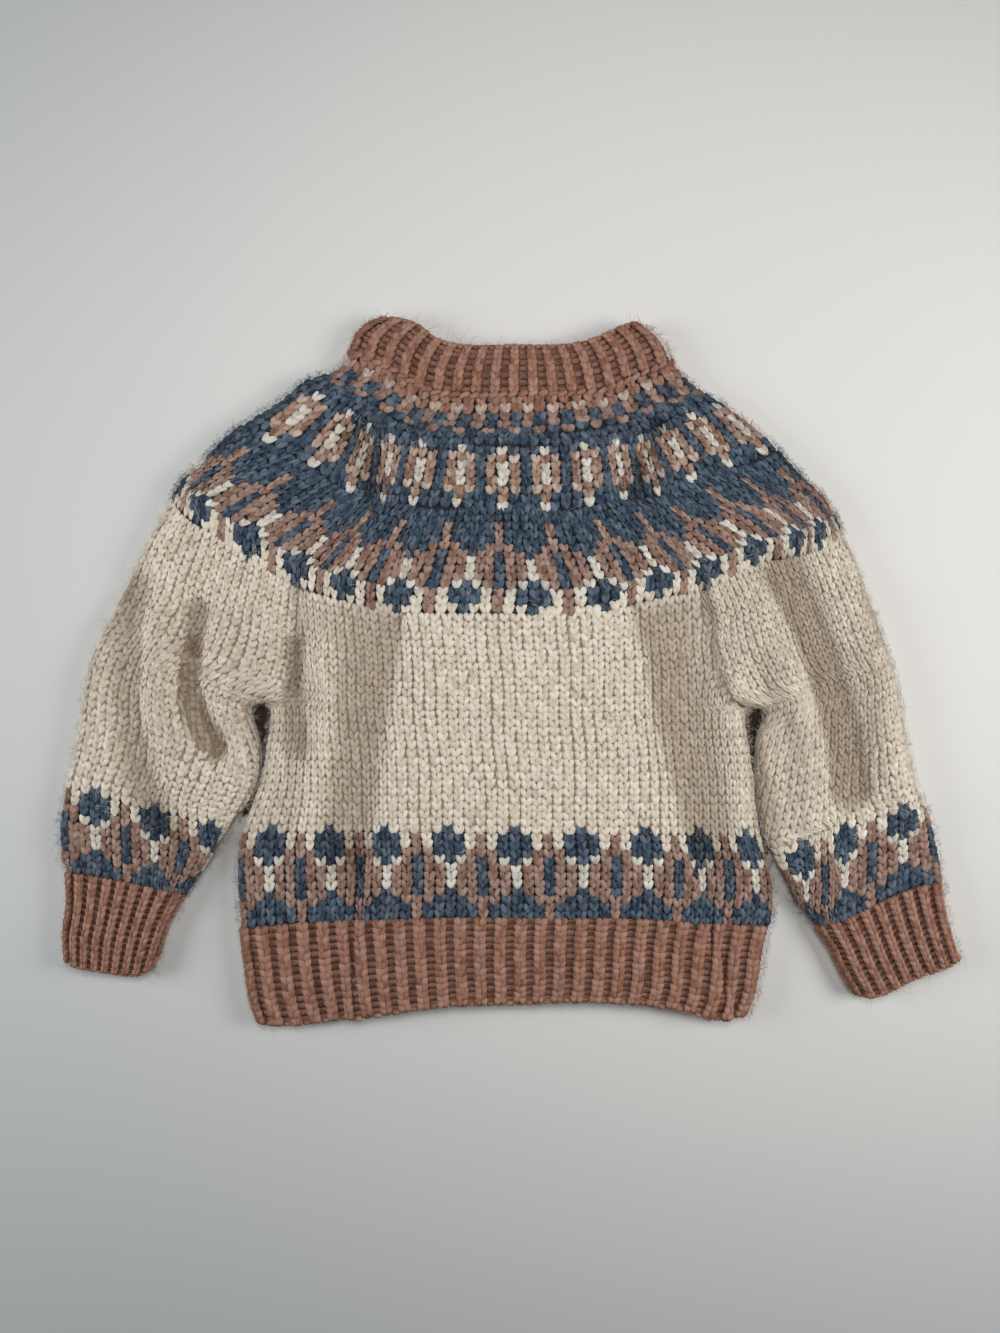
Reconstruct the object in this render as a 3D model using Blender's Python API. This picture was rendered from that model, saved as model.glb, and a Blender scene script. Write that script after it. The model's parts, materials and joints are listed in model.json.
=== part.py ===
"""A small child's fair isle yoke jumper, knitted in the round and laid flat on its back.

Eight pieces, one for each stretch that a knitter works: hem rib, body, two sleeves, two cuffs, yoke and neckband.
Each is a closed wall of cloth: a front run and a back run of rings, joined along the folds at its sides.
Places in the tables are millimetres on the table top, seen from above: x to the right, y towards the neck.
"""

import bpy
import numpy as np

MM = 0.001

# Driving sizes, in millimetres
WALL = 3.6  # stranded and brushed aran knitting
RIB_WALL = 3.2  # plain inside of a rib, under its raised columns
BAND_WALL = 4.4  # the neckband is folded double
RIB_RISE = 1.1
FOLD_HEIGHT = 6.2  # middle of a side fold above the table
FOLD_WIDTH = 6.6  # how far a side fold's round reaches in below
UPPER_WIDTH = 9.5  # and above
BASE_HEIGHT = 10.2  # top of the cloth away from folds
SEAM_GAP = 0.2  # taken off each piece where two meet
FACE_STITCHES = {"body": 54, "cuff": 18, "neck": 36}  # on the side that shows
UNDERARM = 0.64  # share of a body or sleeve edge that lies below the armhole

# Outer folds, from the neckband's top corner down to the cuff's end: x, y
OUTER = {
    "left": {
        "band": [(-72, 202), (-80, 199), (-87, 193), (-91, 184)],
        "yoke": [(-91, 184), (-98, 174), (-117, 167), (-131, 156), (-150, 144), (-164, 133), (-175, 122), (-186, 111), (-193, 100)],
        "sleeve": [(-193, 100), (-204, 81), (-212, 64), (-224, 41), (-235, 18), (-243, -5), (-248, -39), (-253, -62), (-257, -85), (-257, -105), (-253, -114)],
        "cuff": [(-253, -114), (-252, -133), (-254, -149), (-253, -165)],
    },
    "right": {
        "band": [(75, 199), (83, 194), (89, 187), (93, 178)],
        "yoke": [(93, 178), (97, 172), (107, 163), (118, 156), (141, 139), (153, 128), (168, 111), (178, 102), (185, 91), (191, 79)],
        "sleeve": [(191, 79), (198, 64), (206, 41), (214, 18), (221, -5), (227, -39), (232, -62), (241, -84), (246, -107), (248, -119)],
        "cuff": [(248, -119), (250, -136), (254, -151), (258, -163)],
    },
}
# Folds either side of the gap under each arm, from the cuff's end up to the armhole and down to the hem: x, y
INNER = {
    "left": {
        "cuff": [(-204, -169), (-199, -156), (-194, -143), (-184, -127)],
        "sleeve": [(-184, -127), (-170, -105), (-160, -89), (-149, -73), (-144.5, -63), (-142.5, -52), (-143.5, -40), (-147, -28), (-147, -20), (-140, -18)],
        "body": [(-137, -18), (-137, -30), (-139, -42), (-140.8, -53), (-143, -64), (-148, -77), (-155, -98), (-156, -114), (-155, -133), (-153.5, -146)],
        "hem": [(-153.5, -146), (-151, -165), (-148, -186), (-143, -200)],
    },
    "right": {
        "cuff": [(198, -184), (190, -171), (183, -157), (175, -145)],
        "sleeve": [(175, -145), (164, -131), (158, -119), (152, -108), (146.3, -96), (143.8, -84), (142.3, -73), (141.6, -61), (141.6, -48), (142, -37), (146, -28), (145, -22), (139.5, -21)],
        "body": [(136, -22), (135, -30), (137.8, -46), (140, -61), (140.8, -73), (142.3, -84), (144.5, -96), (147.5, -107), (150, -119), (151, -130), (149.5, -145)],
        "hem": [(149.5, -145), (146, -160), (142, -184), (137, -195)],
    },
}
# Lines where one piece of knitting meets the next, left to right or foot to top: x, y
RAGLAN = {
    "left": [(-138.5, -18), (-130, -15), (-123, -11), (-119.5, -2), (-118.5, 8), (-119, 47)],
    "right": [(137.7, -21.5), (131, -19), (126, -15), (121, -5), (117, 10), (115.5, 19), (116, 28), (110, 46.5)],
}
YOKE_EDGE = {
    "left": [(-193, 100), (-184, 88), (-168, 78), (-149, 66), (-119, 47)],
    "body": [(-119, 47), (-96, 41), (-65, 34.5), (-25, 33.5), (13, 33.5), (53, 35), (86, 42), (110, 46.5)],
    "right": [(110, 46.5), (137, 60), (163, 66), (178, 71), (191, 79)],
}
BAND_BASE = [(-91, 184), (-80, 178), (-68, 173), (-55, 165), (-44, 160.5), (-25, 158.5), (3, 158), (28, 158.5), (52, 161), (68, 168), (84, 174), (93, 178)]
BAND_TOP = [(-72, 202), (-57, 199.5), (-47, 194), (-39, 189), (-25, 186), (4, 185.5), (28, 186), (44, 189), (57, 194), (67, 198), (75, 199)]
HEM_TOP = [(-153.5, -146), (-120, -143), (-73, -140), (0, -139), (75, -140), (120, -143), (149.5, -145)]
HEM_END = [(-143, -200), (-118, -200), (-72, -193), (-23, -188), (33, -186), (89, -189), (117, -196), (137, -195)]
CUFF_TOP = {
    "left": [(-253, -114), (-237, -116), (-221, -119), (-205, -122), (-184, -127)],
    "right": [(175, -145), (190, -141), (199, -137), (215, -129), (232, -122), (248, -119)],
}
CUFF_END = {
    "left": [(-253, -165), (-245, -168.5), (-228, -171), (-212, -172), (-204, -169)],
    "right": [(198, -184), (206, -185), (216, -182), (232, -173), (248, -167.5), (258, -163)],
}

# Soft folds in the upper layer: rise, half width, then the line it follows as x, y pairs
FOLDS = [
    (-9.0, 6.5, (-177, 34), (-183.5, -5), (-178, -26), (-166, -44)),  # deep crease across the left sleeve
    (6.5, 22.0, (-153, 18), (-152, 2)),  # the cloth pushed up beside it
    (5.0, 9.0, (-199, 30), (-199, -30), (-186, -62)),
    (-5.0, 9.0, (-215, 48), (-218, -10), (-210, -60), (-198, -88)),
    (5.0, 14.0, (-165, -62), (-152, -52)),
    (-6.0, 6.0, (-124, 14), (-124, -16), (-121, -42)),  # crease below the left armhole
    (3.5, 8.0, (-107, 10), (-107, -40), (-117, -115)),
    (-10.0, 9.5, (157, 56), (178, 8), (190, -36), (194, -66)),  # broad hollow down the right sleeve
    (5.5, 18.0, (140, 22), (138, 6)),
    (6.0, 9.5, (152, 6), (168, -36), (172, -84)),
    (4.5, 12.0, (194, 40), (208, 0), (217, -40), (226, -80)),
    (4.0, 8.5, (126, 0), (130, -50), (135, -112)),
    (-5.0, 6.5, (-88, 138), (-77, 106)),  # puckers where two medallions of the yoke close up
    (-4.5, 6.5, (84, 140), (72, 104)),
    (2.0, 22.0, (-60, 150), (60, 150)),
]
# Lines down the body, outside which the upper layer drops and slowly comes back: drop, shoulder, way back, then x, y pairs
STEPS = [
    (7.0, 4.0, 30.0, (-81, -104), (-77, -70), (-71, -27), (-64, 7), (-62, 22)),
    (7.0, 4.0, 30.0, (73, 22), (78, 7), (83, -27), (95, -70), (102, -98)),
]
MIDDLE_RISE = 3.0  # how far the middle of the body stands up between them
STEP_FADE = 14  # over which a step's ends die out
CENTRE = np.array([0.352, 0.73, 0.0])  # middle of the garment box, on the table

def even(line, count):
    """The same line as places evenly spaced along it, with whatever other columns it has."""
    along = np.concatenate([[0], np.cumsum(np.linalg.norm(np.diff(line[:, :2], axis=0), axis=1))])
    return columns_at(np.linspace(0, along[-1], count), along, line)


def columns_at(at, knots, table):
    return np.stack([np.interp(at, knots, column) for column in table.T], axis=-1)


def smooth(points, steps=24):
    """A smooth line through the points, with this many steps from each to the next."""
    p = np.array(points, float)
    p = np.vstack([2 * p[0] - p[1], p, 2 * p[-1] - p[-2]])
    t = np.linspace(0, 1, steps, endpoint=False)[:, None]
    runs = [
        0.5 * (2 * b + (c - a) * t + (2 * a - 5 * b + 4 * c - d) * t**2 + (3 * b - a - 3 * c + d) * t**3)
        for a, b, c, d in zip(p[:-3], p[1:-2], p[2:-1], p[3:])
    ]
    return np.vstack(runs + [p[-2:-1]])


def stretches_of(table, side, steps=24):
    """One smooth line through a table's stretches, cut back into them: x, y and the way out of the cloth there."""
    points, ends = [], [0]
    for stretch in table.values():
        points += stretch[1:] if points and points[-1] == stretch[0] else stretch
        ends.append(len(points) - 1)
    line = smooth(points, steps)
    ahead = np.gradient(line, axis=0)
    ahead /= np.linalg.norm(ahead, axis=1, keepdims=True)
    out = np.column_stack([ahead[:, 1], -ahead[:, 0]]) * (1 if side == "left" else -1)
    line = np.hstack([line, out])
    return {name: even(line[steps * a : steps * b + 1], 161) for name, a, b in zip(table, ends, ends[1:])}


OUTER_LINES = {side: stretches_of(table, side) for side, table in OUTER.items()}
INNER_LINES = {side: stretches_of(table, side) for side, table in INNER.items()}


def straight(name, table):
    return even(smooth(table), 161)


def fold_segments():
    """Ends of the short straight steps along every side fold."""
    starts, ends = [], []
    for lines in (*OUTER_LINES.values(), *INNER_LINES.values()):
        line = even(np.vstack(list(lines.values()))[:, :2], 150)
        starts.append(line[:-1])
        ends.append(line[1:])
    return np.vstack(starts), np.vstack(ends)


FOLD_A, FOLD_B = fold_segments()


def segment_distance(p, a, b):
    """How far each place is from each straight step, as places x steps."""
    d = b - a
    t = ((p[:, None] - a) * d).sum(2) / np.maximum((d * d).sum(1), 1e-9)
    return np.linalg.norm(p[:, None] - a - np.clip(t, 0, 1)[:, :, None] * d, axis=2)


def fold_distance(p):
    return segment_distance(p, FOLD_A, FOLD_B).min(axis=1)


def beside(p, line):
    """How far each place is from a line, positive on its left as it is followed, and how far past its ends."""
    a, d = line[:-1], np.diff(line, axis=0)
    t = ((p[:, None] - a) * d).sum(2) / (d * d).sum(1)
    far = segment_distance(p, a, line[1:])
    near, each = far.argmin(axis=1), np.arange(len(p))
    side = np.sign(d[near, 0] * (p - a[near])[:, 1] - d[near, 1] * (p - a[near])[:, 0])
    past = np.maximum(-t[:, 0], 0) * np.linalg.norm(d[0]) + np.maximum(t[:, -1] - 1, 0) * np.linalg.norm(d[-1])
    return far[each, near] * side, past


def upper_height(p, least=2 * WALL + 0.7):
    """How high the upper layer lies away from the side folds. It never lies lower than the least height."""
    height = np.full(len(p), BASE_HEIGHT)
    middle = 1 / (1 + np.exp((p[:, 1] - 40) / 8))
    for drop, shoulder, back, *line in STEPS:
        far, past = beside(p, np.array(line, float))
        outside = 1 / (1 + np.exp(-2 * far / shoulder))
        height -= drop * outside * np.exp(-np.maximum(far, 0) / back - (past / STEP_FADE) ** 2)
        middle *= 1 - outside
    height += MIDDLE_RISE * middle
    for rise, half_width, *line in FOLDS:
        line = np.array(line, float)
        far = segment_distance(p, line[:-1], line[1:]).min(axis=1)
        height += rise * np.exp(-((far / half_width) ** 2))
    return least + np.logaddexp(0, (height - least) * 1.2) / 1.2


def reach(distance, width):
    """0 at a side fold and 1 where its round ends."""
    return np.sqrt(1 - (1 - np.clip(distance / width, 0, 1)) ** 2)


def lift(p, face):
    """Height of the cloth's outside over a place, for its upper face (1) or the one on the table (-1)."""
    far = fold_distance(p)
    if face > 0:
        return FOLD_HEIGHT + (upper_height(p) - FOLD_HEIGHT) * reach(far, UPPER_WIDTH)
    return FOLD_HEIGHT * (1 - reach(far, FOLD_WIDTH))


def tilt(p, face, step=0.2):
    """Unit normals out of the cloth's outside."""
    dx, dy = np.array([step, 0]), np.array([0, step])
    slope_x = (lift(p + dx, face) - lift(p - dx, face)) / (2 * step)
    slope_y = (lift(p + dy, face) - lift(p - dy, face)) / (2 * step)
    n = np.stack([-slope_x, -slope_y, np.ones(len(p))], axis=1) * face
    return n / np.linalg.norm(n, axis=1, keepdims=True)


class Piece:
    """A stretch of knitting between two edges across it and two lines up its sides."""

    def __init__(self, start, end, left, right):
        self.edges = start, end
        self.sides = left, right

    def across(self, which, u):
        line = self.edges[which]
        return columns_at(u, np.linspace(0, 1, len(line)), line)

    def up(self, which, v):
        """Place on a side line, or both its stretches where an armhole parts it into (below, above)."""
        below, above = self.sides[which] if isinstance(self.sides[which], tuple) else (self.sides[which], None)
        if above is None:
            return columns_at(v, np.linspace(0, 1, len(below)), below[:, :2])
        climb = np.maximum.accumulate(above[:, 1] - above[0, 1])  # rows of an armhole go mostly by how far up it is
        climb += 0.15 * np.linspace(0, climb[-1], len(above))
        knots = np.concatenate([np.linspace(0, UNDERARM, len(below)), UNDERARM + (1 - UNDERARM) * (climb / climb[-1])[1:]])
        return columns_at(v, knots, np.vstack([below[:, :2], above[1:]]))

    def place(self, u, v):
        """Places on the table for shares across (u) and along (v): a surface patch through the four sides."""
        u, v = np.asarray(u, float), np.asarray(v, float)
        a, b = u[..., None], v[..., None]
        start, end = self.across(0, u), self.across(1, u)
        left, right = self.up(0, v), self.up(1, v)
        corners = [self.across(0, np.array(0.0)), self.across(0, np.array(1.0)), self.across(1, np.array(0.0)), self.across(1, np.array(1.0))]
        return (
            (1 - b) * start + b * end + (1 - a) * left + a * right
            - (1 - a) * (1 - b) * corners[0] - a * (1 - b) * corners[1] - (1 - a) * b * corners[2] - a * b * corners[3]
        )

    def shares(self, v, count, face, near_folds):
        """Shares across that space a row's columns evenly over the cloth, or closer together round its side folds."""
        gap = SEAM_GAP / np.linalg.norm(self.across(0, np.array(1.0)) - self.across(0, np.array(0.0)))
        u = np.linspace(gap, 1 - gap, 241)
        p = self.place(u, np.full_like(u, v))
        points = np.column_stack([p, lift(p, face)])
        steps = np.linalg.norm(np.diff(points, axis=0), axis=1)
        middle = (p[1:] + p[:-1]) / 2
        to_end = np.minimum(*(np.linalg.norm(middle - end, axis=1) for end in (p[0], p[-1])))
        steps *= 1 + near_folds * np.exp(-((to_end / FOLD_WIDTH) ** 2))
        along = np.concatenate([[0], np.cumsum(steps)])
        return np.interp(np.linspace(0, along[-1], count + 1), along, u)

    def rings(self, rows, count, face, wall, shared, near_folds=2.0, rise=None):
        """(outside, inside) points of one face, as rows x columns, in millimetres."""
        outside, inside = [], []
        for v in rows:
            u = self.shares(v, count, face, near_folds)
            p = self.place(u, np.full_like(u, v))
            z, n = lift(p, face), tilt(p, face)
            for column, here in zip((0, -1), shared(v)):
                if here:  # on the fold itself the wall stands upright
                    z[column] = FOLD_HEIGHT
                    n[column] = self.outward(column, v)
            points = np.column_stack([p, z])
            inside.append(points - wall * n)
            outside.append(points + (0 if rise is None else rise[:, None] * n))
        return np.array(outside), np.array(inside)

    def outward(self, column, v):
        """Level direction out of a side fold."""
        line = self.sides[0 if column == 0 else 1]
        below, end = (line[0], UNDERARM) if isinstance(line, tuple) else (line, 1)
        return np.array([*columns_at(v, np.linspace(0, end, len(below)), below)[2:], 0.0])


def build(name, piece, rows, front, back, wall, shared, material, ribbed=False):
    """One closed solid from a piece's upper and lower faces, joined where shared() says that they meet."""
    rise = rib_rise(front) if ribbed else None
    faces = {1: piece.rings(rows, front, 1, wall, shared, 0.0 if ribbed else 2.0, rise), -1: piece.rings(rows, back, -1, wall, shared)}
    points, index, polygons = [], {}, []

    def vertex(p):
        key = tuple(np.round(p, 4))
        if key not in index:
            index[key] = len(points)
            points.append(p)
        return index[key]

    def quad(*corners):
        ids = [vertex(c) for c in corners]
        ids = [v for i, v in enumerate(ids) if v != ids[i - 1]]
        if len(ids) > 2:
            polygons.append(ids)

    for face, (outside, inside) in faces.items():
        turn = 1 if face > 0 else -1
        last = outside.shape[1] - 1
        for r in range(len(rows) - 1):
            for c in range(last):
                quad(*[outside[r, c], outside[r, c + 1], outside[r + 1, c + 1], outside[r + 1, c]][::turn])
                quad(*[inside[r, c], inside[r + 1, c], inside[r + 1, c + 1], inside[r, c + 1]][::turn])
            meets = [a and b for a, b in zip(shared(rows[r]), shared(rows[r + 1]))]
            if not meets[0]:
                quad(*[outside[r, 0], outside[r + 1, 0], inside[r + 1, 0], inside[r, 0]][::turn])
            if not meets[1]:
                quad(*[outside[r, last], inside[r, last], inside[r + 1, last], outside[r + 1, last]][::turn])
        for c in range(last):
            quad(*[outside[0, c], inside[0, c], inside[0, c + 1], outside[0, c + 1]][::turn])
            quad(*[outside[-1, c], outside[-1, c + 1], inside[-1, c + 1], inside[-1, c]][::turn])
    mesh = bpy.data.meshes.new(name)
    mesh.from_pydata([tuple(p) for p in (np.array(points) - CENTRE) * MM], [], polygons)
    mesh.materials.append(material)
    obj = bpy.data.objects.new(name, mesh)
    bpy.context.scene.collection.objects.link(obj)
    return obj


def rib_rise(count):
    """How far each column of a rib stands out: four to a rib, two of them raised."""
    return np.where(np.isin(np.arange(count + 1) % 4, (1, 2)), RIB_RISE, 0.0)


def wool(name, color):
    material = bpy.data.materials.new(name)
    material.use_nodes = True
    shader = material.node_tree.nodes["Principled BSDF"]
    shader.inputs["Base Color"].default_value = (*color, 1)
    shader.inputs["Roughness"].default_value = 0.95
    shader.inputs["Metallic"].default_value = 0.0
    return material


def both(v):
    return True, True


def main():
    for obj in list(bpy.data.objects):
        bpy.data.objects.remove(obj, do_unlink=True)
    rose = wool("rose_wool", (0.36, 0.17, 0.12))
    cream = wool("cream_wool", (0.56, 0.49, 0.40))
    blue = wool("blue_wool", (0.09, 0.13, 0.19))
    edge = {name: straight(name, table) for name, table in YOKE_EDGE.items()}
    raglan = {side: straight(side, table) for side, table in RAGLAN.items()}
    base, top = straight("base", BAND_BASE), straight("top", BAND_TOP)
    hem_top, hem_end = straight("hem top", HEM_TOP), straight("hem end", HEM_END)

    hem_rows = np.linspace(0, 0.994, 3)
    build("hem_rib", Piece(hem_end, hem_top, INNER_LINES["left"]["hem"][::-1], INNER_LINES["right"]["hem"][::-1]), hem_rows, 2 * FACE_STITCHES["body"], 24, RIB_WALL, both, rose, True)

    body_sides = [(INNER_LINES[side]["body"][::-1], raglan[side]) for side in ("left", "right")]
    armhole_rows = np.concatenate([np.linspace(0.0015, UNDERARM, 12), np.linspace(UNDERARM, 0.9972, 10)[1:]])
    build("body", Piece(hem_top, edge["body"], *body_sides), armhole_rows, 56, 16, WALL, lambda v: (v <= UNDERARM + 1e-6,) * 2, cream)

    for side in ("left", "right"):
        outer = OUTER_LINES[side]["sleeve"][::-1]
        inner = (INNER_LINES[side]["sleeve"], raglan[side])
        cuff_outer, cuff_inner = OUTER_LINES[side]["cuff"][::-1], INNER_LINES[side]["cuff"]
        if side == "left":
            sides, cuff_sides = (outer, inner), (cuff_outer, cuff_inner)
            shared = lambda v: (True, v <= UNDERARM + 1e-6)
        else:
            sides, cuff_sides = (inner, outer), (cuff_inner, cuff_outer)
            shared = lambda v: (v <= UNDERARM + 1e-6, True)
        cuff_top, cuff_end = straight("cuff top", CUFF_TOP[side]), straight("cuff end", CUFF_END[side])
        build(f"sleeve_{side}", Piece(cuff_top, edge[side], *sides), armhole_rows, 26, 12, WALL, shared, cream)
        build(f"cuff_{side}", Piece(cuff_end, cuff_top, *cuff_sides), np.linspace(0, 0.987, 3), 2 * FACE_STITCHES["cuff"], 12, RIB_WALL, both, rose, True)

    yoke_edge = even(np.vstack([edge["left"], edge["body"][1:], edge["right"][1:]]), 321)
    yoke_rows = np.linspace(0.0045, 0.996, 10)
    build("yoke", Piece(yoke_edge, base, OUTER_LINES["left"]["yoke"][::-1], OUTER_LINES["right"]["yoke"][::-1]), yoke_rows, 56, 28, WALL, both, blue)
    build("neckband", Piece(base, top, OUTER_LINES["left"]["band"][::-1], OUTER_LINES["right"]["band"][::-1]), np.linspace(0.012, 1, 4), 2 * FACE_STITCHES["neck"], 24, BAND_WALL, both, rose, True)

    corners = np.array([obj.matrix_world @ v.co for obj in bpy.data.objects for v in obj.data.vertices])
    middle = (corners.min(axis=0) + corners.max(axis=0)) / 2
    print("box in mm:", np.round(corners.min(axis=0) / MM, 3), np.round(corners.max(axis=0) / MM, 3))
    print("middle in mm:", np.round(middle / MM, 3))


main()
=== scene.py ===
# %% [markdown]
# # A small child's fair isle jumper, laid flat
# The jumper is knitted in the round from soft aran wool: hem rib, body, sleeves with ribbed cuffs, a
# patterned yoke and a doubled neckband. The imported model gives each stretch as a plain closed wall. This
# lesson dresses it: each wall is replaced by a thin shell, and every stitch is laid on the shell as two
# plump legs of yarn.

import json
import math

import bpy
import numpy as np
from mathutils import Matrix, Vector

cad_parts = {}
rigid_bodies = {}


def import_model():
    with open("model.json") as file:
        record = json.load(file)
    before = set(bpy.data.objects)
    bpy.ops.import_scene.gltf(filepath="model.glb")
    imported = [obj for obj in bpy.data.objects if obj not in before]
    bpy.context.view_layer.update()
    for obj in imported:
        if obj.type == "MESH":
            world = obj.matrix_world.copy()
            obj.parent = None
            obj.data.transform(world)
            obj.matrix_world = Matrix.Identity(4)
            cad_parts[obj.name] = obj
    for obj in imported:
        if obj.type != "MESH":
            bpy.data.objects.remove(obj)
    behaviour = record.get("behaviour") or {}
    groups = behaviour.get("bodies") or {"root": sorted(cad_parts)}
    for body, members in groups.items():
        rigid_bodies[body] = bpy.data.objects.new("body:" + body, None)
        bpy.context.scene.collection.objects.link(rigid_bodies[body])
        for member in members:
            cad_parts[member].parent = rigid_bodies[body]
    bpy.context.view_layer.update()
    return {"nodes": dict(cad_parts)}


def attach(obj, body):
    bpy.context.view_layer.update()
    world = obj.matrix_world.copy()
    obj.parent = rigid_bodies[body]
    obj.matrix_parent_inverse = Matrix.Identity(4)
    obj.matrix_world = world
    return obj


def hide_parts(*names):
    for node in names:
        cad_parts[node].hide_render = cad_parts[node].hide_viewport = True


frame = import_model()
print("CAD nodes:", ", ".join(sorted(frame["nodes"])))

# %% [markdown]
# ## The garment's own sizes
# A knitter works from a gauge and a few lengths. The same driving sizes made the solids, so the dressed
# jumper lies exactly where they are. They are in millimetres, and the outlines are tables of places on the
# table top.

# %% Driving sizes
MM = 0.001
FOLD_HEIGHT = 6.2  # middle of a side fold above the table
FOLD_WIDTH = 6.6  # how far a side fold's round reaches in below
UPPER_WIDTH = 9.5  # and above
BASE_HEIGHT = 10.2  # top of the cloth away from folds
SEAM_GAP = 0.2  # taken off each piece where two meet
UNDERARM = 0.64  # share of a body or sleeve edge that lies below the armhole
SOFTER = 5.0  # wool rounds the steps off by this much more than the solid
LEAST_HEIGHT = 6.4  # of the upper layer, in the deepest creases

# %% Outlines and seams
# Outer folds, from the neckband's top corner down to the cuff's end: x, y
OUTER = {
    "left": {
        "band": [(-72, 202), (-80, 199), (-87, 193), (-91, 184)],
        "yoke": [
            (-91, 184), (-98, 174), (-117, 167), (-131, 156), (-150, 144), (-164, 133), (-175, 122),
            (-186, 111), (-193, 100),
        ],
        "sleeve": [
            (-193, 100), (-204, 81), (-212, 64), (-224, 41), (-235, 18), (-243, -5), (-248, -39),
            (-253, -62), (-257, -85), (-257, -105), (-253, -114),
        ],
        "cuff": [(-253, -114), (-252, -133), (-254, -149), (-253, -165)],
    },
    "right": {
        "band": [(75, 199), (83, 194), (89, 187), (93, 178)],
        "yoke": [
            (93, 178), (97, 172), (107, 163), (118, 156), (141, 139), (153, 128), (168, 111), (178, 102),
            (185, 91), (191, 79),
        ],
        "sleeve": [
            (191, 79), (198, 64), (206, 41), (214, 18), (221, -5), (227, -39), (232, -62), (241, -84),
            (246, -107), (248, -119),
        ],
        "cuff": [(248, -119), (250, -136), (254, -151), (258, -163)],
    },
}
# Folds either side of the gap under each arm, from the cuff's end up to the armhole and down to the hem: x, y
INNER = {
    "left": {
        "cuff": [(-204, -169), (-199, -156), (-194, -143), (-184, -127)],
        "sleeve": [
            (-184, -127), (-170, -105), (-160, -89), (-149, -73), (-144.5, -63), (-142.5, -52),
            (-143.5, -40), (-147, -28), (-147, -20), (-140, -18),
        ],
        "body": [
            (-137, -18), (-137, -30), (-139, -42), (-140.8, -53), (-143, -64), (-148, -77), (-155, -98),
            (-156, -114), (-155, -133), (-153.5, -146),
        ],
        "hem": [(-153.5, -146), (-151, -165), (-148, -186), (-143, -200)],
    },
    "right": {
        "cuff": [(198, -184), (190, -171), (183, -157), (175, -145)],
        "sleeve": [
            (175, -145), (164, -131), (158, -119), (152, -108), (146.3, -96), (143.8, -84), (142.3, -73),
            (141.6, -61), (141.6, -48), (142, -37), (146, -28), (145, -22), (139.5, -21),
        ],
        "body": [
            (136, -22), (135, -30), (137.8, -46), (140, -61), (140.8, -73), (142.3, -84), (144.5, -96),
            (147.5, -107), (150, -119), (151, -130), (149.5, -145),
        ],
        "hem": [(149.5, -145), (146, -160), (142, -184), (137, -195)],
    },
}
# Lines where one piece of knitting meets the next, left to right or foot to top: x, y
RAGLAN = {
    "left": [(-138.5, -18), (-130, -15), (-123, -11), (-119.5, -2), (-118.5, 8), (-119, 47)],
    "right": [
        (137.7, -21.5), (131, -19), (126, -15), (121, -5), (117, 10), (115.5, 19), (116, 28), (110, 46.5),
    ],
}
YOKE_EDGE = {
    "left": [(-193, 100), (-184, 88), (-168, 78), (-149, 66), (-119, 47)],
    "body": [(-119, 47), (-96, 41), (-65, 34.5), (-25, 33.5), (13, 33.5), (53, 35), (86, 42), (110, 46.5)],
    "right": [(110, 46.5), (137, 60), (163, 66), (178, 71), (191, 79)],
}
BAND_BASE = [
    (-91, 184), (-80, 178), (-68, 173), (-55, 165), (-44, 160.5), (-25, 158.5), (3, 158), (28, 158.5),
    (52, 161), (68, 168), (84, 174), (93, 178),
]
BAND_TOP = [
    (-72, 202), (-57, 199.5), (-47, 194), (-39, 189), (-25, 186), (4, 185.5), (28, 186), (44, 189),
    (57, 194), (67, 198), (75, 199),
]
HEM_TOP = [(-153.5, -146), (-120, -143), (-73, -140), (0, -139), (75, -140), (120, -143), (149.5, -145)]
HEM_END = [
    (-143, -200), (-118, -200), (-72, -193), (-23, -188), (33, -186), (89, -189), (117, -196), (137, -195),
]
CUFF_TOP = {
    "left": [(-253, -114), (-237, -116), (-221, -119), (-205, -122), (-184, -127)],
    "right": [(175, -145), (190, -141), (199, -137), (215, -129), (232, -122), (248, -119)],
}
CUFF_END = {
    "left": [(-253, -165), (-245, -168.5), (-228, -171), (-212, -172), (-204, -169)],
    "right": [(198, -184), (206, -185), (216, -182), (232, -173), (248, -167.5), (258, -163)],
}

stretches = [line for table in (OUTER, INNER) for side in table.values() for line in side.values()]
print("side folds:", len(stretches), "stretches with", sum(map(len, stretches)), "places")

# %% Folds of the upper layer
# Soft folds: rise, or below 0 a hollow, then half width and the line it follows as x, y pairs
FOLDS = [
    (-9.0, 6.5, (-177, 34), (-183.5, -5), (-178, -26), (-166, -44)),  # deep crease across the left sleeve
    (6.5, 22.0, (-153, 18), (-152, 2)),  # the cloth pushed up beside it
    (5.0, 9.0, (-199, 30), (-199, -30), (-186, -62)),
    (-5.0, 9.0, (-215, 48), (-218, -10), (-210, -60), (-198, -88)),
    (5.0, 14.0, (-165, -62), (-152, -52)),
    (-6.0, 6.0, (-124, 14), (-124, -16), (-121, -42)),  # crease below the left armhole
    (3.5, 8.0, (-107, 10), (-107, -40), (-117, -115)),
    (-10.0, 9.5, (157, 56), (178, 8), (190, -36), (194, -66)),  # broad hollow down the right sleeve
    (5.5, 18.0, (140, 22), (138, 6)),
    (6.0, 9.5, (152, 6), (168, -36), (172, -84)),
    (4.5, 12.0, (194, 40), (208, 0), (217, -40), (226, -80)),
    (4.0, 8.5, (126, 0), (130, -50), (135, -112)),
    (-5.0, 6.5, (-88, 138), (-77, 106)),  # puckers where two medallions of the yoke close up
    (-4.5, 6.5, (84, 140), (72, 104)),
    (2.0, 22.0, (-60, 150), (60, 150)),
]
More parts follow.
